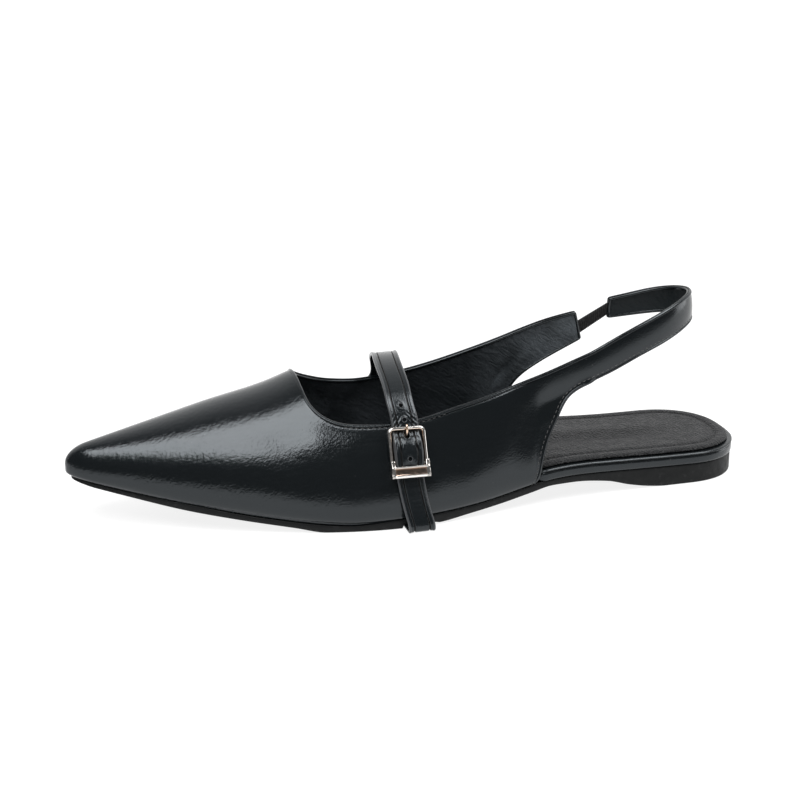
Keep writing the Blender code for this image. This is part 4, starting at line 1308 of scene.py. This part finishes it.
def cut_holes(piece, band):
    """Punched holes of the band, the longest one round the prong."""
    mesh = bmesh.new()
    for at, middle, across, along, normal, wider, stretch in hole_frames(band):
        radius = BAND_HOLE_RADIUS * wider * MM
        if band.inside(at) > 0.5:
            middle = middle + normal * HOLE_CUT / 2
        matrix = Matrix([[across[i], along[i] * stretch, normal[i], metres(middle)[i]] for i in range(3)]
                        + [[0, 0, 0, 1]])
        bmesh.ops.create_cone(mesh, cap_ends=True, segments=HOLE_SIDES, radius1=radius, radius2=radius,
                              depth=HOLE_CUT * MM, matrix=matrix)
    combine(piece, mesh, "DIFFERENCE")


def band_stitch_rows(band):
    """Stitch places in the band's two grooves, except under the sole."""
    gap_start, gap_end = BAND_STITCH_GAP
    spans = ((0.0, band.length * gap_start), (band.length * gap_end, band.length - BAND_STITCH_LAST))
    rows = []
    for start, end in spans:
        for at in np.arange(start + BAND_STITCH_FIRST, end, BAND_STITCH_PITCH):
            middle, across, normal = band.frame(at)
            ahead = band.frame(min(at + BAND_STITCH_LOOK, band.length))[0]
            behind = band.frame(max(at - BAND_STITCH_LOOK, 0.0))[0]
            for s in (-BAND_GROOVE_S, BAND_GROOVE_S):
                place = middle + across * s + normal * (band.height(at, np.array(s)) + BAND_STITCH_HIGH)
                rows.append((place, ahead - behind, normal))
    return rows


# Buckle, in its own frame: across, up, out
FRAME_PROFILE = (                # in from the outer edge, height above the upper
    (0.0, 1.7), (0.02, 2.1), (0.14, 2.5), (0.38, 2.76), (0.7, 2.86), (1.02, 2.76), (1.28, 2.5), (1.42, 2.1),
    (1.45, 1.7), (1.2, 1.55), (0.25, 1.55),
)
FRAME_CORNER = 2.3
FRAME_CORNER_LEAST = 0.12
FRAME_CORNER_POINTS = 7
BAR_EASE = 0.24
KEEPER_FACE = (                  # down from its top edge, drop of its rim, depth of its dish
    (0.0, 0.3, 0.0), (0.1, 0.12, 0.0), (0.3, 0.0, 0.0), (0.6, 0.05, 0.0), (0.95, 0.2, 0.1), (1.15, 0.2, 0.5),
    (2.1, 0.0, 0.62), (3.0, 0.0, 0.5), (3.2, 0.2, 0.2), (3.35, 0.12, 0.0), (3.6, 0.0, 0.0), (3.9, 0.1, 0.0),
    (4.2, 0.4, 0.0),
)
KEEPER_ENDS = (                  # in from its end, drop of its rim, share of the dish
    (0.0, 0.16, 0.0), (0.14, 0.0, 0.0), (0.6, 0.0, 0.0), (0.85, 0.0, 0.25), (1.3, 0.0, 0.8), (1.8, 0.0, 1.0),
)
SHARP_ANGLE = 40.0

# Faces of the buckle that take other tones
FACING = 0.3                     # least part of a normal that counts as facing
SIDE_BAR_U = 5.4                 # beyond it a face belongs to a side bar
WARM_ABOVE = (-5.2, 1.6)         # lowest place and height of warm faces
DISH_U = 6.5
DISH_V = (-9.0, -5.75)
DISH_DROP = 0.1                  # how far below the keeper's face its dish begins

# Prong's round section: size at its start and loss to its tip, in radii
PRONG_WIDE = (1.15, 0.2)
PRONG_THICK = (1.0, 0.1)
PRONG_TIP = (0.06, 0.05)         # share of its length that rounds off, and the cut at its end
PRONG_STATIONS = 40
PRONG_SIDES = 16
PRONG_LOOK = 0.01                # share of its length by which its direction is taken


def to_wall(point):
    """Point of the buckle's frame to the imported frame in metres."""
    axes, origin = BUCKLE_FRAME
    return metres(origin + axes @ np.asarray(point, float))


BUCKLE_FRAME = buckle_axes()


def rounded_rectangle(inset):
    """Outline of the buckle's frame, moved in from its outer edge."""
    radius = max(FRAME_CORNER - inset, FRAME_CORNER_LEAST)
    x = BUCKLE_WIDTH / 2 - inset - radius
    y = BUCKLE_HEIGHT / 2 - inset - radius
    points = []
    for i, (cx, cy) in enumerate(((x, y), (-x, y), (-x, -y), (x, -y))):
        for angle in np.linspace(0, np.pi / 2, FRAME_CORNER_POINTS) + i * np.pi / 2:
            points.append((cx + radius * np.cos(angle), cy + radius * np.sin(angle)))
    return points


def frame_mesh():
    """Cast frame: bevelled bars in one ring."""
    mesh = bmesh.new()
    rings = [[(u, v, height) for u, v in rounded_rectangle(inset)] for inset, height in FRAME_PROFILE]
    loops = add_rows(mesh, rings, to_wall)
    bridge(mesh, loops + loops[:1])
    bmesh.ops.recalc_face_normals(mesh, faces=mesh.faces)
    return mesh


def bar_mesh(low, high, ease=BAR_EASE):
    """Bar with eased edges between two corners of the buckle's frame."""
    mesh = bmesh.new()
    bmesh.ops.create_cube(mesh, size=1.0)
    size = np.array(high) - np.array(low)
    middle = (np.array(high) + np.array(low)) / 2
    for vertex in mesh.verts:
        vertex.co = to_wall(np.array(vertex.co) * size + middle)
    bmesh.ops.bevel(mesh, geom=mesh.edges[:], offset=ease * MM, segments=3, affect="EDGES", profile=0.5)
    return mesh


def keeper_mesh():
    """Keeper bar: a plate with a dished face inside a raised rim."""
    half_width = BUCKLE_WIDTH / 2
    low_v = -BUCKLE_HEIGHT / 2
    top_v = low_v + KEEPER_HEIGHT
    back = KEEPER_HIGH - KEEPER_THICK
    left = [(inset - half_width, rim, dish) for inset, rim, dish in KEEPER_ENDS]
    right = [(-u, rim, dish) for u, rim, dish in reversed(left)]
    rings = []
    for u, end_rim, share in left + right:
        ring = []
        for down, rim, dish in KEEPER_FACE:
            ring.append((u, top_v - down, KEEPER_HIGH - max(rim, end_rim) - share * dish))
        rings.append(ring + [(u, low_v, back), (u, top_v, back)])
    return loft_mesh(rings, to_wall)


def tint_inner_faces(piece):
    """Give the warm material to faces that look into the opening and the dark one to the keeper's dish."""
    axes, origin = BUCKLE_FRAME
    warm_v, warm_w = WARM_ABOVE
    dish_low, dish_high = DISH_V
    for face in piece.data.polygons:
        u, v, w = axes.T @ (millimetres(face.center) - origin)
        normal = axes.T @ np.array(face.normal)
        facing = -normal[0] * np.sign(u) if abs(u) > SIDE_BAR_U else -normal[1]
        in_frame = facing > FACING and v > warm_v and w > warm_w
        in_dish = dish_low < v < dish_high and abs(u) < DISH_U
        in_dish = in_dish and normal[2] > FACING and w < KEEPER_HIGH - DISH_DROP
        face.material_index = 2 if in_dish else int(in_frame)


def make_buckle(*metals):
    half_width = BUCKLE_WIDTH / 2
    half_height = BUCKLE_HEIGHT / 2
    inner = half_width - BUCKLE_BAR
    ear_top = HINGE_V + HINGE_EAR
    ear_high = KEEPER_HIGH - EAR_DROP
    hinge_u = half_width - HINGE_END_IN
    hinge_low, hinge_high = HINGE_V - HINGE_BAR / 2, HINGE_V + HINGE_BAR / 2
    bars = (
        ((-half_width, -half_height, HINGE_LOW), (-inner, ear_top, ear_high)),
        ((inner, -half_height, HINGE_LOW), (half_width, ear_top, ear_high)),
        ((-hinge_u, hinge_low, HINGE_LOW), (hinge_u, hinge_high, HINGE_LOW + HINGE_BAR)),
    )
    piece = add_object("buckle_cast_frame", frame_mesh(), *metals)
    for mesh in [keeper_mesh()] + [bar_mesh(low, high) for low, high in bars]:
        combine(piece, mesh, "UNION", *metals)
    tint_inner_faces(piece)
    piece.data.set_sharp_from_angle(angle=np.radians(SHARP_ANGLE))
    settle(piece, "buckle_metal", "buckle_frame")


def make_prong(metal):
    """Prong: rises through the band's hole, flattens and tapers to its tip over the top bar."""
    curve, _ = path_curve(PRONG)
    tip_length, tip_cut = PRONG_TIP
    rings = []
    for place in np.linspace(0, 1, PRONG_STATIONS):
        v, w = curve(place)
        tangent = unit(curve(min(place + PRONG_LOOK, 1.0)) - curve(max(place - PRONG_LOOK, 0.0)))
        radius = PRONG_RADIUS * quarter_round((1 - place) / tip_length + tip_cut)
        wide, thick = [radius * (start - loss * place) for start, loss in (PRONG_WIDE, PRONG_THICK)]
        ring = []
        for turn in turns(PRONG_SIDES):
            rise = thick * np.sin(turn)
            ring.append((np.cos(turn) * wide, v - tangent[1] * rise, w + tangent[0] * rise))
        rings.append(ring)
    piece = add_object("buckle_tongue", loft_mesh(rings, to_wall), metal)
    settle(piece, "buckle_metal", "buckle_prong")


class Nodes:
    """Short ways to add nodes to a node tree and to link them."""

    def __init__(self, tree):
        self.tree = tree

    def node(self, kind, **values):
        item = self.tree.nodes.new(kind)
        for key, value in values.items():
            item.inputs[key.replace("_", " ")].default_value = value
        return item

    def link(self, start, end):
        self.tree.links.new(start, end)

    def ranged(self, source, low, high, to_low, to_high):
        item = self.node("ShaderNodeMapRange", From_Min=low, From_Max=high, To_Min=to_low, To_Max=to_high)
        self.link(source, item.inputs["Value"])
        return item.outputs["Result"]

    def product(self, first, second):
        item = self.node("ShaderNodeMath")
        item.operation = "MULTIPLY"
        self.link(first, item.inputs[0])
        self.link(second, item.inputs[1])
        return item.outputs["Value"]

    def coordinate(self, place, axis):
        split = self.node("ShaderNodeSeparateXYZ")
        self.link(place, split.inputs["Vector"])
        return split.outputs[axis]


class Finish(Nodes):
    """Builds one procedural material, in metres of the shoe's own frame."""

    def __init__(self, name, colour, roughness, **values):
        self.material = bpy.data.materials.new(name)
        self.material.use_nodes = True
        super().__init__(self.material.node_tree)
        self.shader = self.tree.nodes["Principled BSDF"]
        self.shader.inputs["Base Color"].default_value = (*colour, 1.0)
        self.shader.inputs["Roughness"].default_value = roughness
        for key, value in values.items():
            self.shader.inputs[key.replace("_", " ")].default_value = value
        self.place = self.node("ShaderNodeTexCoord").outputs["Object"]
        self.normal = None

    def stretched(self, scale):
        """Coordinates stretched by a scale for each axis."""
        mapping = self.node("ShaderNodeMapping", Scale=scale)
        self.link(self.place, mapping.inputs["Vector"])
        return mapping.outputs["Vector"]

    def slanted(self, scale, turn):
        """Coordinates turned about y, then stretched."""
        shrunk = [1 / value for value in scale]
        mapping = self.node("ShaderNodeMapping", Rotation=(0.0, turn, 0.0), Scale=shrunk)
        mapping.vector_type = "TEXTURE"
        self.link(self.place, mapping.inputs["Vector"])
        return mapping.outputs["Vector"]

    def noise(self, scale, detail=2.0, where=None, **values):
        item = self.node("ShaderNodeTexNoise", Scale=scale, Detail=detail, **values)
        self.link(where or self.place, item.inputs["Vector"])
        return item.outputs["Fac"]

    def cells(self, scale, feature="F1", **values):
        item = self.tree.nodes.new("ShaderNodeTexVoronoi")
        item.feature = feature
        for key, value in {"Scale": scale, **values}.items():
            item.inputs[key].default_value = value
        self.link(self.place, item.inputs["Vector"])
        return item.outputs["Distance"]

    def along(self, axis, low, high, to_low, to_high):
        """Value that changes along one axis of the shoe."""
        return self.ranged(self.coordinate(self.place, axis), low, high, to_low, to_high)

    def bump(self, height, distance, strength=1.0):
        """Adds one more layer of relief, its depth in metres."""
        item = self.node("ShaderNodeBump", Distance=distance, Strength=strength)
        self.link(height, item.inputs["Height"])
        if self.normal:
            self.link(self.normal, item.inputs["Normal"])
        self.normal = item.outputs["Normal"]
        self.link(self.normal, self.shader.inputs["Normal"])

    def rough(self, source):
        self.link(source, self.shader.inputs["Roughness"])

    def patchy_rough(self, scale, detail, low, high):
        """Roughness that goes between two values in patches."""
        self.rough(self.ranged(self.noise(scale, detail), *PATCH_NOISE, low, high))

    def tint(self, share, first, second):
        """Base colour that goes from first to second where share goes from 0 to 1."""
        item = self.tree.nodes.new("ShaderNodeValToRGB")
        item.color_ramp.elements[0].color = (*first, 1.0)
        item.color_ramp.elements[1].color = (*second, 1.0)
        self.link(share, item.inputs["Fac"])
        self.link(item.outputs["Color"], self.shader.inputs["Base Color"])

    def dust(self, scale, size):
        """Sparse pale specks, more in some places than in others."""
        specks = self.ranged(self.cells(scale, Randomness=1.0), size * 0.6, size, 1.0, 0.0)
        patches = self.ranged(self.noise(28.0, 3.0), 0.52, 0.62, 0.0, 1.0)
        return self.product(specks, patches)


PATCH_NOISE = (0.3, 0.7)                 # noise values between which a patchy finish changes
GRAIN_DEPTH = 0.00002
GRAIN_SLANT = -0.8                       # turn of the leather's grain about y
GRAIN_X = (-0.08, -0.01)                 # x range over which the grain gets finer
GLOSS_TINT = (0.93, 1.0, 1.05, 1.0)      # cool gloss of black leather


def gloss_leather(name, colour, rough_low, rough_high, grain=GRAIN_DEPTH):
    """Polished black leather: fine grain, slow ripples, thin scratches and a little dust."""
    finish = Finish(name, colour, rough_low, Specular_IOR_Level=0.5, Specular_Tint=GLOSS_TINT)
    finish.bump(finish.noise(170.0, 2.0), 0.00008, 0.2)
    strokes = finish.noise(950.0, 3.0, finish.slanted((0.5, 1.0, 1.0), GRAIN_SLANT), Distortion=0.5)
    toothed = finish.product(strokes, finish.along("X", *GRAIN_X, 1.0, 0.15))
    finish.bump(toothed, grain * 5.0)
    finish.bump(finish.cells(1500.0, "SMOOTH_F1", Smoothness=0.6), grain)
    scratches = finish.noise(900.0, 2.0, finish.stretched((0.06, 1.0, 1.0)))
    finish.rough(finish.ranged(scratches, 0.35, 0.72, rough_low, rough_high))
    finish.tint(finish.dust(330.0, 0.05), colour, (0.12, 0.12, 0.12))
    return finish.material


LINING_PALER_X = (0.03, 0.07)           # x range in which the lining gets paler
LINING_STRAP_X = (0.078, 0.084)          # and where it is dark again, on the strap
LINING_TOE_PAINTED_LIGHT_X = (-0.04, 0.015)           # x range towards the toe over which it is painted paler, a painted light that lifts the deep shade there


def lining_material():
    """Lining leather: fine slanting wrinkles, paler towards the wing's end, and painted light that makes it
    paler deep towards the toe.
    """
    finish = Finish("lining", (0.02, 0.02, 0.021), 0.5, Specular_IOR_Level=0.25)
    wrinkles = finish.noise(640.0, 3.0, finish.slanted((0.3, 1.0, 1.0), 0.6), Distortion=0.7)
    finish.bump(wrinkles, 0.0006, 0.8)
    finish.bump(finish.noise(2400.0, 3.0), 0.00004)
    finish.patchy_rough(70.0, 4.0, 0.42, 0.6)
    paler_to_wing = finish.along("X", *LINING_PALER_X, 0.24, 1.0)
    off_strap = finish.along("X", *LINING_STRAP_X, 1.0, 0.0)
    # painted light: the lining is up to four times paler deep inside towards the toe, where shade falls
    inside = finish.product(off_strap, finish.along("X", *LINING_TOE_PAINTED_LIGHT_X, 4.0, 1.0))
    fine = finish.ranged(finish.noise(1100.0, 4.0), 0.3, 0.7, 0.7, 1.0)
    broad = finish.ranged(finish.noise(90.0, 3.0), 0.36, 0.6, 0.5, 1.15)
    share = finish.product(finish.product(paler_to_wing, inside), finish.product(fine, broad))
    finish.tint(share, (0.0085, 0.012, 0.014), (0.105, 0.12, 0.133))
    return finish.material


SOCK_COLOUR = (0.0105, 0.011, 0.0122)


def sock_material():
    finish = Finish("insole_leather", SOCK_COLOUR, 0.5, Specular_IOR_Level=0.22)
    finish.bump(finish.noise(150.0, 3.0, finish.stretched((0.5, 1.0, 1.0)), Distortion=0.8), 0.0003, 0.6)
    finish.bump(finish.cells(1150.0, "SMOOTH_F1", Smoothness=0.4), 0.0007)
    finish.bump(finish.noise(1900.0, 3.0), 0.0001)
    finish.patchy_rough(260.0, 4.0, 0.36, 0.5)
    finish.tint(finish.dust(420.0, 0.05), SOCK_COLOUR, (0.1, 0.1, 0.1))
    return finish.material


RUBBER_COLOUR = (0.0046, 0.0054, 0.0057)


def rubber_material():
    finish = Finish("sole_rubber", RUBBER_COLOUR, 0.5, Specular_IOR_Level=0.22)
    finish.bump(finish.noise(1300.0, 4.0), 0.00006)
    finish.bump(finish.noise(220.0, 2.0), 0.00015, 0.5)
    finish.patchy_rough(300.0, 4.0, 0.42, 0.62)
    worn = finish.ranged(finish.noise(420.0, 5.0), 0.58, 0.8, 0.0, 1.0)
    finish.tint(worn, RUBBER_COLOUR, (0.02, 0.0205, 0.021))
    return finish.material


def weave_material():
    finish = Finish("elastic_weave", (0.008, 0.008, 0.009), 0.8, Sheen_Weight=0.05)
    finish.bump(finish.noise(2600.0, 2.0, finish.stretched((0.35, 1.0, 1.0))), 0.00012)
    finish.patchy_rough(900.0, 3.0, 0.66, 0.92)
    finish.tint(finish.noise(1700.0, 2.0), (0.004, 0.004, 0.005), (0.014, 0.014, 0.015))
    return finish.material


def thread_material(name, shade):
    finish = Finish(name, (shade, shade, shade), 0.42)
    finish.bump(finish.noise(5200.0, 2.0, finish.stretched((0.4, 1.0, 1.0))), 0.00005)
    finish.patchy_rough(1500.0, 2.0, 0.32, 0.55)
    return finish.material


def metal_material(name, first, second):
    """Polished plating that goes from one tone to another in patches."""
    finish = Finish(name, first, 0.14, Metallic=1.0)
    finish.bump(finish.noise(1400.0, 3.0, finish.stretched((0.12, 1.0, 1.0))), 0.000008)
    finish.patchy_rough(800.0, 4.0, 0.1, 0.24)
    finish.tint(finish.noise(240.0, 3.0), first, second)
    return finish.material


# Floor with a painted glow: its emission is off in front of the shoe, dimmed ahead of the toe and grows far
# behind it.
def floor_material():
    finish = Finish("pale_floor", (0.22, 0.22, 0.22), 0.7, Specular_IOR_Level=0.2)
    finish.bump(finish.noise(60.0, 3.0), 0.0001, 0.3)
    finish.shader.inputs["Emission Color"].default_value = FLOOR_LIGHT
    begins = finish.along("Y", *FLOOR_FRONT, 0.0, 1.0)
    glow = finish.along("Y", *FLOOR_DEPTH, *FLOOR_GLOW)
    glow = finish.product(glow, finish.along("X", *FLOOR_TOE, FLOOR_TOE_DIM, 1.0))
    finish.link(finish.product(begins, glow), finish.shader.inputs["Emission Strength"])
    return finish.material


# Stage, in metres
FLOOR_HALF = 6.0
SOFTBOX_HEIGHT = 1.5
SOFTBOX_RADIANCE = 6.8
SOFTBOX_CENTRE = (-0.08, -0.02)          # place under which the slopes below are taken
SOFTBOXES = {                            # slopes of the edges seen from there: x range, y range
    "softbox_toe": ((-0.7, -0.18), (-1.02, 0.04)),
    "softbox_throat": ((-0.18, 0.08), (-0.5, 0.04)),
    "softbox_heel": ((0.36, 0.96), (-0.62, 0.08)),
}
WORLD_DARK = 0.1
WORLD_PALE = 1.0
WORLD_PALE_SIDE = (0.35, 0.94, 0.0)      # direction in which the room is palest
WORLD_PALE_RANGE = (0.0, 0.4)            # part of that direction over which it gets pale
WORLD_CEILING = 0.55                     # how pale the room is overhead, beside its walls
WORLD_CEILING_RANGE = (0.6, 0.9)         # upward part over which that begins
PANEL_PLACE = (1.3, -0.1, 0.12)          # low side light at the heel
PANEL_TARGET = (0.0, 0.0, 0.05)
PANEL_SIZE = (0.5, 0.4)
PANEL_RADIANCE = 2.2
FLOOR_FRONT = (-0.55, -0.2)              # y range over which the lit floor begins
FLOOR_TOE = (-0.7, -0.2)                 # x range over which it is lit, ahead of the toe
FLOOR_TOE_DIM = 0.25
FLOOR_GLOW = (0.85, 1.05)                # floor's own light by the shoe and far behind it
FLOOR_DEPTH = (0.2, 2.0)                 # y range over which that changes
FLOOR_LIGHT = (1.0, 1.0, 1.0, 1.0)


def make_floor():
    mesh = bmesh.new()
    bmesh.ops.create_grid(mesh, x_segments=8, y_segments=8, size=FLOOR_HALF)
    floor = add_object("floor", mesh, floor_material())
    floor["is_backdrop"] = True


def make_world():
    """Room: dark behind the camera, pale behind the shoe, dimmer overhead."""
    world = bpy.data.worlds.new("room")
    world.use_nodes = True
    bpy.context.scene.world = world
    room = Nodes(world.node_tree)
    back = room.tree.nodes["Background"]
    back.inputs["Color"].default_value = (1.0, 1.0, 1.0, 1.0)
    where = room.node("ShaderNodeTexCoord").outputs["Generated"]
    side = room.node("ShaderNodeVectorMath")
    side.operation = "DOT_PRODUCT"
    side.inputs[1].default_value = WORLD_PALE_SIDE
    room.link(where, side.inputs[0])
    shade = room.ranged(side.outputs["Value"], *WORLD_PALE_RANGE, WORLD_DARK, WORLD_PALE)
    dim = room.ranged(room.coordinate(where, "Z"), *WORLD_CEILING_RANGE, 1.0, WORLD_CEILING)
    room.link(room.product(shade, dim), back.inputs["Strength"])


def aim(item, place, target):
    item.location = place
    item.rotation_euler = (Vector(target) - Vector(place)).to_track_quat("-Z", "Y").to_euler()


def add_light(name, size, radiance):
    """Rectangular light that looks straight down."""
    data = bpy.data.lights.new(name, "AREA")
    data.shape = "RECTANGLE"
    data.size, data.size_y = size
    data.energy = radiance * np.pi * data.size * data.size_y
    return place_object(name, data)


def add_panel():
    """Low soft light at the heel's side."""
    aim(add_light("side_panel", PANEL_SIZE, PANEL_RADIANCE), PANEL_PLACE, PANEL_TARGET)


def add_softbox(name, x_range, y_range):
    """Level softbox overhead, between slopes seen from the shoe."""
    low, high = np.column_stack([x_range, y_range]) * SOFTBOX_HEIGHT
    light = add_light(name, high - low, SOFTBOX_RADIANCE)
    light.location = (*(low + high) / 2 + np.array(SOFTBOX_CENTRE), SOFTBOX_HEIGHT)


def add_camera():
    azimuth, elevation = np.radians((CAMERA_AZIMUTH, CAMERA_ELEVATION))
    level = np.cos(elevation)
    back = np.array((np.sin(azimuth) * level, -np.cos(azimuth) * level, np.sin(elevation)))
    data = bpy.data.cameras.new("camera")
    data.sensor_fit = "HORIZONTAL"
    data.sensor_width = CAMERA_SENSOR
    data.lens = CAMERA_LENS
    camera = place_object("camera", data)
    aim(camera, metres(np.array(CAMERA_TARGET) + back * CAMERA_DISTANCE), metres(CAMERA_TARGET))
    bpy.context.scene.camera = camera


# Leathers: colour, lowest and highest roughness
UPPER_LOOK = ((0.0048, 0.0063, 0.0072), 0.13, 0.2)
STRAP_LOOK = ((0.0058, 0.0076, 0.0088), 0.17, 0.26)
RAND_LOOK = ((0.0055, 0.007, 0.008), 0.2, 0.32)
BORDER_LOOK = ((0.05, 0.052, 0.055), 0.16, 0.3)
STRAP_GRAIN = 0.000026

# Shades of thread, the painted shade of the band's stitch grooves, and the two tones of each plating
THREAD_SHADE = 0.005
PALE_THREAD_SHADE = 0.05
PAINTED_GROOVE_SHADE = 0.002
SILVER_TONES = ((0.9, 0.85, 0.8), (0.88, 0.86, 0.84))
COPPER_TONES = ((0.8, 0.56, 0.4), (0.72, 0.6, 0.5))
DARK_TONES = ((0.5, 0.36, 0.27), (0.26, 0.22, 0.2))


def make_shoe():
    leather = gloss_leather("upper_leather", *UPPER_LOOK)
    strap = gloss_leather("strap_leather", *STRAP_LOOK, STRAP_GRAIN)
    rand = gloss_leather("rand_leather", *RAND_LOOK)
    thread = thread_material("waxed_thread", THREAD_SHADE)
    pale_thread = thread_material("waxed_thread_pale", PALE_THREAD_SHADE)
    metal = metal_material("buckle_metal", *SILVER_TONES)
    make_outsole(rubber_material())
    make_rand(rand)
    make_insole(sock_material())
    rows = sock_stitch_rows()
    make_stitches("insole_stitches", rows, SOCK_STITCH_LENGTH, THREAD_RADIUS, thread, "insole_leather")
    upper, edge = make_upper(leather, lining_material())
    make_rim(edge, leather)
    rows = rim_stitch_rows(upper, edge)
    make_stitches("upper_stitches", rows, RIM_STITCH_LENGTH, THREAD_RADIUS, pale_thread, "upper_leather")
    make_elastic(weave_material())
    border = gloss_leather("strap_border", *BORDER_LOOK)
    # painted shade: the floors of the band's stitch grooves are made near black
    groove = thread_material("strap_groove_painted_shade", PAINTED_GROOVE_SHADE)
    band = make_band(strap, border, groove)
    make_hole_rims(band, border)
    rows = band_stitch_rows(band)
    make_stitches("band_stitches", rows, BAND_STITCH_LENGTH, BAND_STITCH_RADIUS, thread, "strap_leather")
    copper = metal_material("buckle_warm_metal", *COPPER_TONES)
    dark = metal_material("buckle_dark_metal", *DARK_TONES)
    make_buckle(metal, copper, dark)
    make_prong(copper)


def write_sizes():
    boxes = {"cad": cad_box, "visual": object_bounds()}
    plain = {name: [[float(value) for value in corner] for corner in box] for name, box in boxes.items()}


bpy.context.scene.view_settings.view_transform = "Standard"
add_camera()
make_floor()
make_world()
for softbox, ranges in SOFTBOXES.items():
    add_softbox(softbox, *ranges)
add_panel()
make_shoe()
write_sizes()
